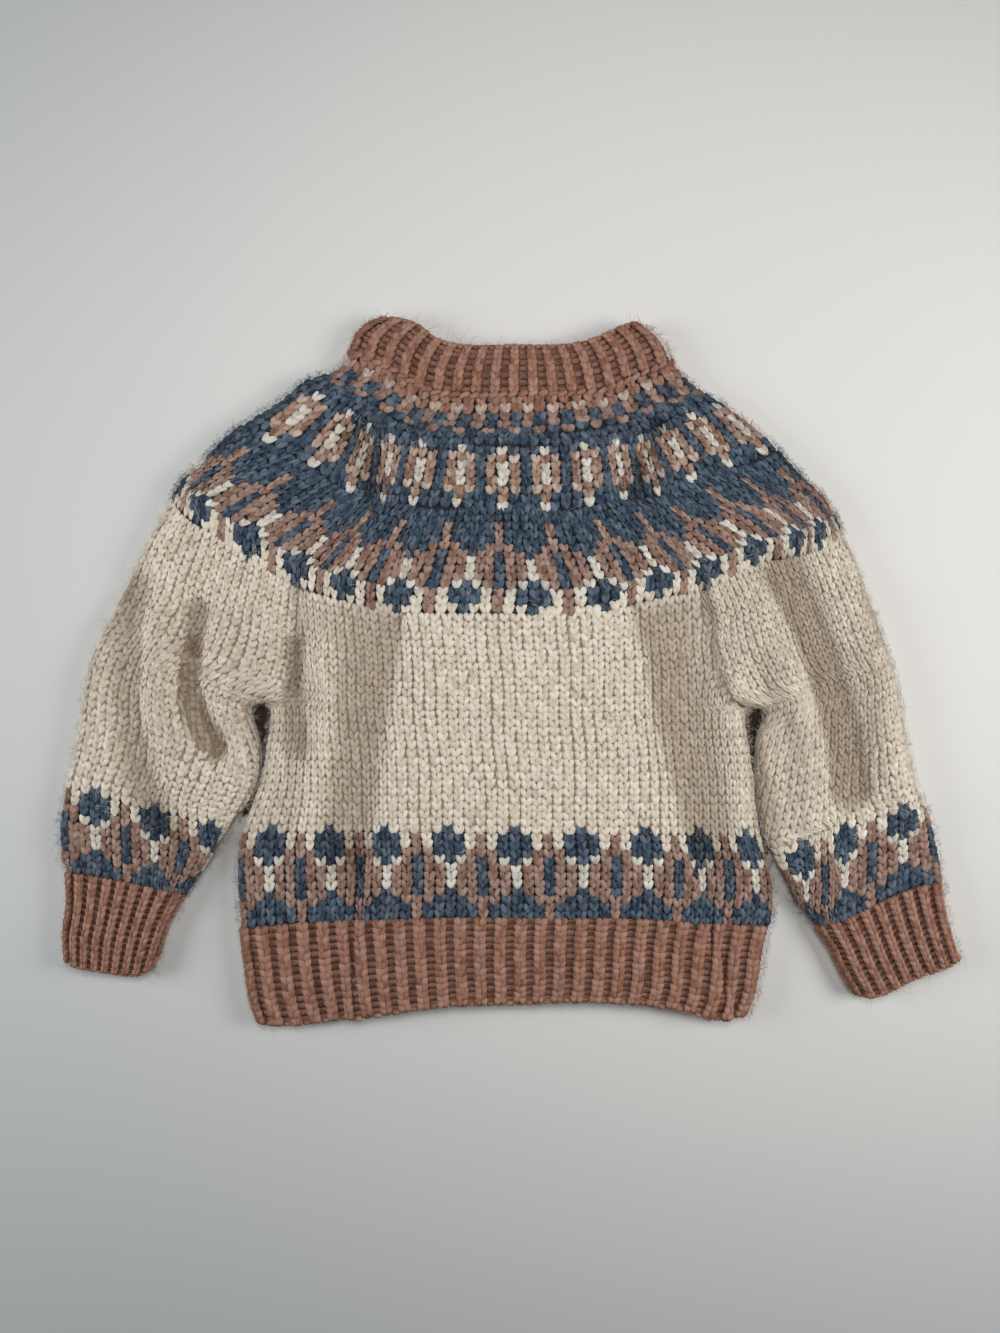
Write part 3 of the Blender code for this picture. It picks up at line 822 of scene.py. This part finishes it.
def mixed(tree, factor, a, b, blend="MIX"):
    """The colour between a and b, or a multiplied by b."""
    inputs = {"Factor": factor, "A": a, "B": b}
    return node(tree, "ShaderNodeMix", inputs, data_type="RGBA", blend_type=blend).outputs["Result"]


def ramp(tree, value, low, high, **more):
    """The value spread from 0 at its low end to 1 at its high end."""
    inputs = {"Value": value, "From Min": low, "From Max": high, **more}
    return node(tree, "ShaderNodeMapRange", inputs).outputs["Result"]


GREY = (0.5, 0.5, 0.5, 1)
TWIST = math.radians(24)  # at which the fibres wind round the yarn as they run along it

# %% Wool with streaks along the yarn
def marled_wool():
    colors = {"Yarn": GREY, "Shade": GREY, "Fleck": GREY, "Painted shade": GREY}
    group, given, result = new_group("marled wool", {**colors, "Drift": 0.5, "Fleck share": 0.3})
    along = node(group, "ShaderNodeUVMap", uv_map=YARN_MAP).outputs["UV"]
    turned = {"Vector": along, "Rotation": (0, 0, TWIST), "Scale": (1.5, 6.5, 1)}
    twisted = node(group, "ShaderNodeMapping", turned).outputs["Vector"]
    wound = {"Vector": twisted, "Scale": 1.0, "Detail": 3.0}
    fibres = node(group, "ShaderNodeTexNoise", wound, noise_dimensions="2D").outputs["Fac"]
    stretch = {"Vector": along, "Scale": 0.55, "Detail": 2.0}  # tone of one stretch of yarn against the next
    slow = node(group, "ShaderNodeTexNoise", stretch, noise_dimensions="2D").outputs["Fac"]
    tone = mixed(group, ramp(group, fibres, 0.40, 0.60), given["Shade"], given["Yarn"])
    drift = ramp(group, slow, 0.35, 0.65, **{"To Min": -1.0})
    terms = {0: drift, 1: given["Drift"], 2: given["Fleck share"]}
    share = node(group, "ShaderNodeMath", terms, operation="MULTIPLY_ADD", use_clamp=True).outputs["Value"]
    marl = mixed(group, share, tone, given["Fleck"])
    # painted shade: the colour is multiplied towards the painted shade tint by the amount in the map
    nap = node(group, "ShaderNodeUVMap", uv_map=PAINTED_SHADE_MAP).outputs["UV"]
    painted_shade_amount = node(group, "ShaderNodeSeparateXYZ", {"Vector": nap}).outputs["X"]
    with_painted_shade = mixed(group, painted_shade_amount, marl, given["Painted shade"], "MULTIPLY")
    group.links.new(with_painted_shade, result["Color"])
    group.links.new(fibres, result["Height"])
    return group


wool_group = marled_wool()
print("group:", wool_group.name)

# %% The yarns
def principled(name, roughness=0.9, sheen=0.5, tint=(1, 1, 1)):
    material = bpy.data.materials.new(name)
    material.use_nodes = True
    tree = material.node_tree
    shader = next(n for n in tree.nodes if n.type == "BSDF_PRINCIPLED")
    values = {"Roughness": roughness, "Specular IOR Level": 0.25}
    values |= {"Sheen Weight": sheen, "Sheen Roughness": 0.45, "Sheen Tint": (*tint, 1)}
    for label, value in values.items():
        shader.inputs[label].default_value = value
    return material, tree, shader


def grouped(name, group, values, strength, distance, **finish):
    """A finish with the colour of a group, and its height as a relief."""
    material, tree, shader = principled(name, **finish)
    values = {label: (*value, 1) if isinstance(value, tuple) else value for label, value in values.items()}
    made = node(tree, "ShaderNodeGroup", values, node_tree=group).outputs
    shape = {"Height": made["Height"], "Strength": strength, "Distance": distance}
    relief = node(tree, "ShaderNodeBump", shape)
    tree.links.new(made["Color"], shader.inputs["Base Color"])
    tree.links.new(relief.outputs["Normal"], shader.inputs["Normal"])
    return material


# Painted shade: a yarn's colour is multiplied towards this tint by the painted shade map.
PAINTED_SHADE_TINT = (0.37, 0.29, 0.235)  # what is left of a yarn's colour down in a crease


def wool_yarn(name, yarn, shade, fleck, drift, share, sheen):
    values = {"Yarn": yarn, "Shade": shade, "Fleck": fleck, "Painted shade": PAINTED_SHADE_TINT}
    values |= {"Drift": drift, "Fleck share": share}
    return grouped(name, wool_group, values, 0.7, 0.0006, sheen=sheen, tint=fleck)

# %% Tones of the seven yarns
# Name, yarn, darker fibres, fleck, how much the tone drifts, share of fleck, sheen
YARN_TONES = {
    "c": ("cream_wool", (0.84, 0.755, 0.62), (0.65, 0.55, 0.43), (0.93, 0.875, 0.775), 0.5, 0.35, 0.5),
    "r": ("rose_wool", (0.365, 0.18, 0.122), (0.215, 0.097, 0.062), (0.52, 0.32, 0.245), 0.35, 0.28, 0.3),
    "b": ("blue_wool", (0.060, 0.098, 0.150), (0.018, 0.031, 0.054), (0.16, 0.205, 0.26), 0.6, 0.25, 0.2),
    "w": ("white_wool", (0.76, 0.71, 0.62), (0.56, 0.50, 0.42), (0.88, 0.85, 0.78), 0.5, 0.35, 0.5),
    "p": ("pale_rose_wool", (0.56, 0.40, 0.32), (0.34, 0.20, 0.15), (0.74, 0.62, 0.54), 0.45, 0.4, 0.4),
    "d": (
        "dusty_rose_wool", (0.335, 0.196, 0.15), (0.197, 0.106, 0.076), (0.52, 0.37, 0.31), 0.45, 0.32, 0.3,
    ),
    "t": ("tan_rose_wool", (0.36, 0.205, 0.145), (0.20, 0.105, 0.07), (0.58, 0.43, 0.35), 0.5, 0.3, 0.3),
}
yarn_materials = [wool_yarn(*YARN_TONES[key]) for key in YARNS]
print("yarns:", ", ".join(m.name for m in yarn_materials))

# %% [markdown]
# ## The cloth under the stitches
# Between the legs and from the inside one sees the back of the knitting: bumps of yarn in close rows. A
# thin closed shell on each solid's form carries it. Its bumps are small, so they are in the finish: rounded
# cells somewhat smaller than a stitch, shifted a little from an even grid, so that no two rows are the
# same.

# %% Node group for the purl side
# Between the cells the colour turns to a darker gap colour, as painted shade in the dips between the bumps.
def purl_side():
    group, given, result = new_group("purl side", {"Yarn": GREY, "Painted gap shade": GREY, "Stitch": 0.0054})
    size = node(group, "ShaderNodeMath", {0: 1.0, 1: given["Stitch"]}, operation="DIVIDE").outputs["Value"]
    place = node(group, "ShaderNodeTexCoord").outputs["Object"]
    scaled = node(group, "ShaderNodeVectorMath", {0: place, "Scale": size}, operation="SCALE")
    cells = {"Vector": scaled.outputs["Vector"], "Randomness": 0.35, "Scale": 1.3}
    bumps = node(group, "ShaderNodeTexVoronoi", cells, voronoi_dimensions="2D", feature="F1")
    between = ramp(group, bumps.outputs["Distance"], 0.15, 0.65)
    height = node(group, "ShaderNodeMath", {0: 1.0, 1: between}, operation="SUBTRACT").outputs["Value"]
    group.links.new(mixed(group, between, given["Yarn"], given["Painted gap shade"]), result["Color"])
    group.links.new(height, result["Height"])
    return group


purl_group = purl_side()


def backing(name, yarn, gap):
    return grouped(name, purl_group, {"Yarn": yarn, "Painted gap shade": gap}, 0.8, 0.0012, sheen=0.2)


# Each backing: yarn colour, then the darker gap colour between the bumps, which is painted shade.
backings = {
    "cream": backing("cream_backing", (0.56, 0.47, 0.36), (0.34, 0.27, 0.20)),
    "rose": backing("rose_backing", (0.19, 0.09, 0.058), (0.095, 0.043, 0.028)),
    "blue": backing("blue_backing", (0.022, 0.032, 0.048), (0.011, 0.016, 0.024)),
    # cream cloth painted nearly black, as painted shadow for the webs deep in the underarm gaps
    "painted_shadow": backing("painted_shadow_backing", (0.05, 0.036, 0.026), (0.025, 0.018, 0.013)),
}

# %% Thin shells on the solids' forms
SHELL_TOP, SHELL_UNDER = 1.5, 2.9  # how far below the cloth's outside a shell's two sides lie
SHELL_START, SHELL_END = 0.0015, 0.998  # shares up a piece, so that two shells keep a small gap
SHELLS = {  # columns on the upper and lower face, slot of the finish
    "hem_rib": (72, 36, "rose"), "body": (90, 36, "cream"),
    "sleeve_left": (38, 18, "cream"), "sleeve_right": (38, 18, "cream"),
    "cuff_left": (30, 16, "rose"), "cuff_right": (30, 16, "rose"),
    "yoke": (72, 36, "blue"), "neckband": (60, 32, "rose"),
}


def shell_rings(name, rows, count, face):
    piece, outside, inside = PIECES[name], [], []
    for v in rows:
        u = piece.shares(v, count, face)
        p = piece.place(u, np.full_like(u, v))
        z, n = lift(p, face), tilt(p, face)
        for column, here in zip((0, -1), shared_sides(name, v)):
            if here:
                z[column] = FOLD_HEIGHT
                n[column] = piece.outward(column, v)
        points = np.column_stack([p, z])
        outside.append(points - SHELL_TOP * n)
        inside.append(points - SHELL_UNDER * n)
    return np.array(outside), np.array(inside)


def shell_rows(name):
    """Shares up a piece at which its shell has a row of corners, one of them where the armholes start."""
    if name in TUBES:
        below, above = np.linspace(SHELL_START, UNDERARM, 18), np.linspace(UNDERARM, SHELL_END, 12)
        return np.concatenate([below, above[1:]])
    return np.linspace(SHELL_START, SHELL_END, 24) if name == "yoke" else np.linspace(0.01, 0.99, 6)


def plain_mesh(name, points, faces, *slots):
    """An object from places in millimetres, with the backings of these names."""
    mesh = bpy.data.meshes.new(name)
    mesh.from_pydata([tuple(p) for p in (np.array(points) - CENTRE) * MM], [], faces)
    for slot in slots:
        mesh.materials.append(backings[slot])
    return placed(name, mesh)

# %% Close the shells
def shell(name, front, back, slot):
    """A closed wall under both faces, blue where the strands of a band of flowers float behind it."""
    rows, points, index, polygons, floats = shell_rows(name), [], {}, [], []
    patterned = len(BAND_CHART) / ROWS[name] if name in TUBES else 0

    def vertex(p):
        key = tuple(np.round(p, 4))
        if key not in index:
            index[key] = len(points)
            points.append(p)
        return index[key]

    def quad(share, turn, *corners):
        ids = [vertex(c) for c in corners[::turn]]
        ids = [v for i, v in enumerate(ids) if v != ids[i - 1]]
        if len(ids) > 2:
            polygons.append(ids)
            floats.append(share < patterned)

    for face, last in ((1, front), (-1, back)):
        a, b = shell_rings(name, rows, last, face)  # corners of the outer and of the inner side
        for r, share in enumerate(rows[1:] - 0.01):
            for c in range(last):
                quad(share, face, a[r, c], a[r, c + 1], a[r + 1, c + 1], a[r + 1, c])
                quad(share, face, b[r, c], b[r + 1, c], b[r + 1, c + 1], b[r, c + 1])
            meets = [low and high for low, high in zip(*(shared_sides(name, v) for v in rows[r : r + 2]))]
            if not meets[0]:
                quad(share, face, a[r, 0], a[r + 1, 0], b[r + 1, 0], b[r, 0])
            if not meets[1]:
                quad(share, face, a[r, last], b[r, last], b[r + 1, last], a[r + 1, last])
        for c in range(last):
            quad(1, face, a[0, c], b[0, c], b[0, c + 1], a[0, c + 1])
            quad(1, face, a[-1, c], a[-1, c + 1], b[-1, c + 1], b[-1, c])
    made = plain_mesh(name + "_cloth", points, polygons, slot, "blue")
    made.data.polygons.foreach_set("material_index", np.array(floats, np.int32))
    made.data.shade_smooth()
    return made


shells = {name: shell(name, *given) for name, given in SHELLS.items()}
print("shells:", {name: len(obj.data.polygons) for name, obj in shells.items()})

# %% [markdown]
# ## Underarm webs
# The front and back are one cloth at the underarm, where it tucks in between the sleeve and the body. From
# above one sees it only as a dark, narrow web in the gap. A thin slab between the two side folds stands for
# it, and its cream cloth is painted nearly black as painted shadow.

# %% Webs between sleeve and body
WEB_END = {"left": -82, "right": -104}  # y where the sleeve and the body part
WEB_HEIGHT, WEB_WALL = 3.6, 0.8
WEB_INSET, WEB_LEAST = 0.6, 0.4  # how far a web keeps from the folds, and its least half width


def underarm_web(side):
    sleeve, body = INNER_LINES[side]["sleeve"], INNER_LINES[side]["body"][::-1]
    y = np.linspace(body[-1, 1] - WEB_INSET, WEB_END[side], 14)
    ends = np.interp(y, sleeve[:, 1], sleeve[:, 0]), np.interp(y, body[:, 1], body[:, 0])
    middle = (ends[0] + ends[1]) / 2
    half = np.maximum(abs(ends[1] - ends[0]) / 2 - WEB_INSET, WEB_LEAST)
    corners = [(x, z) for z in (WEB_HEIGHT, WEB_HEIGHT - WEB_WALL) for x in (middle - half, middle + half)]
    points = np.array([[(x[k], y[k], z) for x, z in corners] for k in range(len(y))]).reshape(-1, 3)
    around = [(0, 1), (1, 3), (3, 2), (2, 0)]
    starts = range(0, len(points) - 4, 4)
    faces = [(k + 4 + a, k + 4 + b, k + b, k + a) for k in starts for a, b in around]
    faces += [(0, 1, 3, 2), tuple(len(points) - 4 + i for i in (0, 2, 3, 1))]
    return plain_mesh(f"underarm_web_{side}", points, faces, "painted_shadow")


webs = [underarm_web(side) for side in SIDES]
print("webs:", [tuple(round(v * 1000, 1) for v in web.dimensions) for web in webs], "mm")

# %% [markdown]
# ## Knit every piece
# On the face that shows a leg has rings of five points, and on the face that lies on the table only three,
# because it is pressed flat there. Ribs are one column knit and one column purl: knit columns stand up as a
# chain of narrow legs, and between them only the short bumps of the purl stitches show.

# %% Legs of plain stitches
ROUND = [0, 1, 1, 0]  # swelling of a short bump
leg = Strand(
    across=[0.47, 0.43, 0.30, 0.17, 0.13], up=[-0.34, -0.08, 0.40, 0.86, 1.10],
    height=[-1.5, -0.85, -0.75, -0.95, -1.7], swell=[0, 0.74, 1.0, 0.84, 0], width=0.28, depth=1.0, sides=5,
)
yoke_leg = like(leg, leg.across, 0.31, 1.05, sides=5)
flat_leg = like(leg, leg.across, 0.26, 0.9, sides=3)
rib_leg = Strand(
    across=[0.44, 0.36, 0.23, 0.13, 0.13], up=[-0.42, -0.14, 0.40, 0.94, 1.18],
    height=[-0.9, 0.1, 0.4, 0.1, -1.0], swell=[0, 0.86, 1.0, 0.90, 0], width=0.38, depth=1.6,
)
neck_leg = like(rib_leg, [0.44, 0.38, 0.27, 0.20, 0.22], 0.33, 1.3)
sunk = [-2.6, -1.75, -1.75, -2.6]
purl_bump = Strand([-0.15, 0.2, 0.8, 1.15], [0.25, 0.55, 0.55, 0.25], sunk, ROUND, 0.34, 1.0, 5)
edge_roll = Strand([-0.2, 0.2, 0.8, 1.2], [0.3, 0.02, 0.02, 0.3], [-1.9, -0.9, -0.9, -1.9], ROUND, 0.30, 1.2)
pick_up = Strand([-0.25, 0.1, 0.75, 1.2], [-0.75, -0.5, -0.15, 0.2], [-1.6, 0.5, 0.7, -1.4], ROUND, 0.30, 1.1)
print("a leg has", 6 * leg.sides, "triangles on the upper face and", 6 * flat_leg.sides, "on the lower one")

# %% Creases, and painted shade by how hollow the cloth lies
def along_yarn(rows, columns, half):
    """How far along its yarn a leg lies: round by round, so that neighbours in a row follow each other."""
    return rows * 17.37 + (columns * 2 + half) * 0.83


# Where cloth closes on itself, tighter than the surface under it, the stitches sink and get painted shade:
# shade, half width, line as x, y pairs. A shade below 0 is painted light, for cloth that stands up beside a
# crease and catches more light.
CREASES_WITH_PAINTED_SHADE = [
    (1.0, 5.6, (-181.0, 12), (-183, -4), (-181, -20), (-177, -33), (-167, -46)),
    (0.35, 2.2, (-122.5, 50), (-120.5, 19), (-122.5, -9)),
    (0.50, 2.4, (-154, -20), (-134, -19)),
    (0.50, 2.4, (109, 56), (115, 29), (117.5, 3), (125, -15), (138, -20)),
    (0.35, 2.4, (143.5, -56), (150, -80), (153, -100)),
    # These rows are mostly painted shade, on bulges turned away from the window, and below 0 painted light.
    (0.26, 13.0, (-158, 28), (-150, 0), (-154, -46)),  # bulges turned away from the window
    (0.20, 9.0, (-199, 40), (-197, -30), (-186, -60)),
    (0.22, 14.0, (138, 56), (134, 20)),
    (0.26, 9.0, (150, 30), (152, -10), (164, -36), (172, -64)),
    (0.28, 8.0, (204, 50), (206, -20), (206, -64)),
    (0.20, 8.0, (-237, 24), (-240, -10), (-236, -45)),
    (-0.20, 6.0, (-217, 25), (-218, -5), (-214, -39)),
    (-0.30, 7.0, (-89, 116), (-86, 144)),
    (-0.20, 7.0, (80, 116), (78, 144)),
]
CREASE_SINK = 2.0  # in mm for a full shade
TIP_SHADE = 0.4  # of a crease's shade is left at its tips
# Painted shade in hollows by their depth, and at the side folds, heavier on the right.
PAINTED_HOLLOW_SHADE, HOLLOW_BEND = 0.68, 0.8  # shade at the deepest hollows, and how it grows with their depth
PAINTED_EDGE_SHADE = {"left": 0.5, "right": 0.8}  # at the side folds, which would be brightest on the window side


def crease_sink_and_painted_shade(places):
    """How dark the creases' painted shade is at these places, which also sets how far stitches sink, or below
    0 how much painted light the cloth between them gets.
    """
    darker, lighter = np.zeros(len(places)), np.zeros(len(places))
    for amount, half_width, *line in CREASES_WITH_PAINTED_SHADE:
        line = np.array(line, float)
        far = segment_distance(places[:, :2], line[:-1], line[1:]).min(axis=1)
        from_tips = np.linalg.norm(places[:, None, :2] - line[[0, -1]], axis=2).min(axis=1)
        ended = np.clip(TIP_SHADE + from_tips / (3 * half_width), 0, 1)
        shade = amount * np.exp(-((far / half_width) ** 2)) * ended
        darker, lighter = np.maximum(darker, shade), np.minimum(lighter, shade)
    return darker + lighter


def painted_shade_at(places, face):
    """Painted shade: 0 at the upper layer's usual height, up to 1 in the deepest creases, and a little at the
    side folds.
    """
    if face < 0:
        return np.zeros(len(places))
    depth = np.clip((BASE_HEIGHT - 0.2 - upper_height(places[:, :2])) / (BASE_HEIGHT - LEAST_HEIGHT), 0, 1)
    # painted shade where the cloth turns down at the side folds
    turned = 1 - reach(fold_distance(places[:, :2]), UPPER_WIDTH)
    turned *= np.where(places[:, 0] > 0, PAINTED_EDGE_SHADE["right"], PAINTED_EDGE_SHADE["left"])
    return np.clip(PAINTED_HOLLOW_SHADE * depth**HOLLOW_BEND + crease_sink_and_painted_shade(places) + turned, 0, 1)

# %% Lay stitches on a band
def cells_of(band):
    """Row and column of every stitch in a band."""
    rows, columns = np.indices((band.last - band.first, band.columns))
    return rows.ravel(), columns.ravel()


def lay(cloth, strand, grid, face, rows, columns, yarns, half=0, **how):
    points = sweep(strand, grid, rows, columns, **how)
    if face > 0:
        points[..., 2] -= CREASE_SINK * np.clip(crease_sink_and_painted_shade(points.mean(axis=1))[:, None] - 0.2, 0, 1)
    # painted shade of each leg, from where its middle lies
    painted_shade_amount = painted_shade_at(points.mean(axis=1), face)
    cloth.add(points, strand.sides, yarns, along_yarn(rows, columns, half), painted_shade_amount)


LOOSE = {"yoke": 1.5, "sleeve_left": 1.15, "sleeve_right": 1.15}  # how unevenly the stitches sit


LEAST_WIDTH = 1.4  # of a stitch that is worth laying
RIBBED = ("hem_rib", "cuff_left", "cuff_right", "neckband")


def knit_plain(cloth, name, face, k, band):
    grid = grids[name, face, k]
    rows, columns = cells_of(band)
    wide = stitch_width(grid[0], rows, columns) > LEAST_WIDTH
    rows, columns = rows[wide], columns[wide]
    yarns = np.array([YARNS.index(letter(name, r + band.first, c)) for r, c in zip(rows, columns)])
    shape = flat_leg if face < 0 else yoke_leg if name == "yoke" else leg
    for half, strand in enumerate((shape, mirrored(shape))):
        lay(cloth, strand, grid, face, rows, columns, yarns, half, loose=LOOSE.get(name, 1.0))

# %% Knit every piece
def knit_rib(cloth, name, face, k, band):
    def rose(strand, rows, columns, **how):
        yarns = np.full(len(rows), YARNS.index("r"))
        lay(cloth, strand, grids[name, face, k], face, rows, columns, yarns, **how)

    rope = neck_leg if name == "neckband" else rib_leg
    rows, columns = cells_of(band)
    for odd, strands in enumerate(((rope, mirrored(rope)), (purl_bump,))):
        kept = columns % 2 == odd
        for half, strand in enumerate(strands):
            rose(strand, rows[kept], columns[kept], half=half, first_row=0.05, loose=0.35)
    edges = [(pick_up, 0), (edge_roll, band.last - 0.3)] if name == "neckband" else [(edge_roll, 0)]
    for strand, row in edges:
        rose(strand, np.full(band.columns, row), np.arange(band.columns))


stitches = {}
for name, bands in BANDS.items():
    for face, side in ((1, "front"), (-1, "back")):
        cloth = Cloth()
        for k, band in enumerate(bands):
            knit = knit_rib if name in RIBBED else knit_plain
            knit(cloth, name, face, k, band)
        stitches.setdefault(name, []).append(cloth.make(f"{name}_{side}_stitches", yarn_materials))


def triangles(objects):
    return sum(len(obj.data.loops) - 2 * len(obj.data.polygons) for obj in objects)


print("triangles in stitches:", {name: triangles(objects) for name, objects in stitches.items()})

# %% [markdown]
# ## Brushed fuzz
# Brushing pulls fine fibres out of the yarn. They lie loosely over the stitches, soften them and stand out
# as a halo along the outline. Each is a very thin closed strand of three sides, which leaves a stitch,
# arches and comes down, in the colour of the stitch that it comes from. They are drawn with a seed, so that
# each run gives the same ones.

# %% Loose fibres over the stitches
FIBRES = {
    "hem_rib": 1200, "body": 4200, "sleeve_left": 3000, "sleeve_right": 2800,
    "cuff_left": 500, "cuff_right": 500, "yoke": 5200, "neckband": 900,
}
FIBRE_RADIUS = 0.07
FIBRE_LENGTH = 3.5, 12.0
HALO_SHARE = 0.25  # of the fibres grow from the side folds and stand out as a halo
HALO_BAND = 1.2  # columns from a side fold in which these start
fuzz_materials = []
for name, yarn, _, fleck, *rest in map(YARN_TONES.get, YARNS):
    fuzz_materials.append(wool_yarn(f"{name}_fuzz", fleck, yarn, fleck, *rest))


def fuzz(name, count):
    cloth = Cloth()
    for k, band in enumerate(BANDS[name]):
        n = int(count * ((band.last - band.first) / ROWS[name]))
        places, out = grids[name, 1, k]
        rows, columns = rng.uniform(0, band.last - band.first, n), rng.uniform(0, band.columns, n)
        edge = rng.random(n) < HALO_SHARE
        near = rng.uniform(0, HALO_BAND, n)
        columns = np.where(edge, np.where(rng.random(n) < 0.5, near, band.columns - near), columns)
        start, normal = on_grid(places, rows, columns), unit(on_grid(out, rows, columns))
        turn = rng.uniform(0, 2 * np.pi, n)
        east = unit(np.cross([0.0, 1.0, 0.0], normal))
        north = unit(np.cross(normal, east))
        length = rng.uniform(*FIBRE_LENGTH, n)[:, None]
        bend = rng.normal(0, 0.9, n)[:, None]
        line = []
        for t, arch in ((0, -0.6), (0.3, 0.6), (0.7, 1.1), (1, 0.6)):
            a = turn[:, None] + bend * t
            level = (np.cos(a) * east + np.sin(a) * north) * length * t
            rise = arch * rng.uniform(0.4, 1.6, n) * np.where(edge, 1.8, 1)
            line.append(start + level * np.where(edge, 0.5, 1)[:, None] + normal * rise[:, None])
        line = np.stack(line, axis=1)
        line[..., 2] = np.maximum(line[..., 2], 0.15)
        ahead = np.gradient(line, axis=1)
        side = unit(np.cross(ahead, normal[:, None]))
        lifted = unit(np.cross(side, ahead))
        angle = (2 * np.pi * np.arange(3) / 3)[:, None]
        around = np.cos(angle) * side[:, 1:-1, None] + np.sin(angle) * lifted[:, 1:-1, None]
        ring = line[:, 1:-1, None] + FIBRE_RADIUS * around
        points = np.concatenate([line[:, :1], ring.reshape(n, -1, 3), line[:, -1:]], axis=1)
        cells = zip(rows.astype(int) + band.first, columns.astype(int))
        yarns = np.array([YARNS.index(letter(name, row, column)) for row, column in cells])
        # each fibre gets 0.6 of the painted shade at its foot
        cloth.add(points, 3, yarns, rng.uniform(0, 100, n), painted_shade_at(start, 1) * 0.6)
    return cloth.make(f"{name}_front_fuzz", fuzz_materials)


for name, count in FIBRES.items():
    stitches[name].append(fuzz(name, count))
knitted = triangles(sum(stitches.values(), []))
print("triangles with fuzz:", knitted, "and in the shells:", triangles(shells.values()))

# %% [markdown]
# ## Each piece on the one body
# Each shell and its stitches ride on the one body and stand for the solid they cover, which is hidden.

stitches["body"] += webs
for name, cloth_shell in shells.items():
    for piece in [cloth_shell, *stitches[name]]:
        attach(piece, "root")
        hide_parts(name)

# %% [markdown]
# ## Table, light and camera
# The jumper lies on a pale cloth under soft daylight, which comes from both sides of the room. The cloth's
# colour holds a painted pool of light right of the middle and greys outwards. The camera looks straight down
# from just under 60 centimetres.

# %% Pale table
HALF, TABLE_GAP = 3.0, 0.0005
floor_mesh = bpy.data.meshes.new("table")
corners = [(-HALF, -HALF, 0), (HALF, -HALF, 0), (HALF, HALF, 0), (-HALF, HALF, 0)]
floor_mesh.from_pydata(corners, [], [(0, 1, 2, 3)])
table = placed("table", floor_mesh)
table.location.z = -TABLE_GAP

# The cloth's colour holds a painted pool of light, which greys slowly away from a place right of the middle.
PAINTED_LIGHT_RADIUS = 0.7  # over which the cloth greys slowly away from a place right of the middle
PAINTED_LIGHT_PLACE = {
    "Location": (-0.137 / PAINTED_LIGHT_RADIUS, -0.097 / PAINTED_LIGHT_RADIUS, 0),
    "Scale": (1 / PAINTED_LIGHT_RADIUS, 1 / PAINTED_LIGHT_RADIUS, 0),
}
pale, pale_tree, pale_shader = principled("pale_cloth", roughness=0.95, sheen=0.1)
where = node(pale_tree, "ShaderNodeTexCoord").outputs["Object"]
moved = node(pale_tree, "ShaderNodeMapping", {"Vector": where, **PAINTED_LIGHT_PLACE}).outputs["Vector"]
away = node(pale_tree, "ShaderNodeTexGradient", {"Vector": moved}, gradient_type="SPHERICAL").outputs["Fac"]
fade = {"Value": away, "From Min": 0.05, "From Max": 0.80}
painted_light_share = node(pale_tree, "ShaderNodeMapRange", fade, interpolation_type="SMOOTHSTEP").outputs["Result"]
painted_light_falloff = mixed(pale_tree, painted_light_share, (0.545, 0.58, 0.585, 1), (0.81, 0.80, 0.78, 1))
pale_tree.links.new(painted_light_falloff, pale_shader.inputs["Base Color"])
floor_mesh.materials.append(pale)

# %% Soft light
def lamp(name, place, size, power, color):
    """A round soft light that faces the jumper."""
    data = bpy.data.lights.new(name, "AREA")
    data.shape = "DISK"
    data.size, data.energy, data.color = size, power, color
    light = placed(name, data)
    light.location = place
    light.rotation_euler = (-Vector(place)).to_track_quat("-Z", "Y").to_euler()


lamp("window right", (0.84, 0.0, 0.545), 0.50, 5.5, (1.0, 0.985, 0.955))
lamp("window left", (-0.91, 0.0, 0.42), 0.50, 4.5, (0.97, 0.985, 1.0))
lamp("ceiling", (0.0, 0.25, 0.8), 0.3, 2.75, (1.0, 0.99, 0.975))
world = bpy.data.worlds.new("room")
bpy.context.scene.world = world
world.use_nodes = True
background = next(n for n in world.node_tree.nodes if n.type == "BACKGROUND")
background.inputs["Color"].default_value = (0.95, 0.97, 1.0, 1)
background.inputs["Strength"].default_value = 0.03
bpy.context.scene.view_settings.view_transform = "Standard"

# %% Camera straight above
VIEW_WIDTH, CLOTH_TOP = 0.570, 0.008  # what the picture takes in across, at this height of the cloth
CAMERA_HEIGHT, SENSOR = 0.575, 36.0
lens = bpy.data.cameras.new("camera")
lens.sensor_fit = "HORIZONTAL"
lens.sensor_width = SENSOR
lens.lens = SENSOR * (CAMERA_HEIGHT - CLOTH_TOP) / VIEW_WIDTH
lens.clip_start = 0.01
camera = placed("camera", lens)
camera.location = (-0.00577, 0.0024, CAMERA_HEIGHT)
bpy.context.scene.camera = camera

print("camera:", tuple(camera.location), "with a lens of", round(lens.lens, 1), "mm")
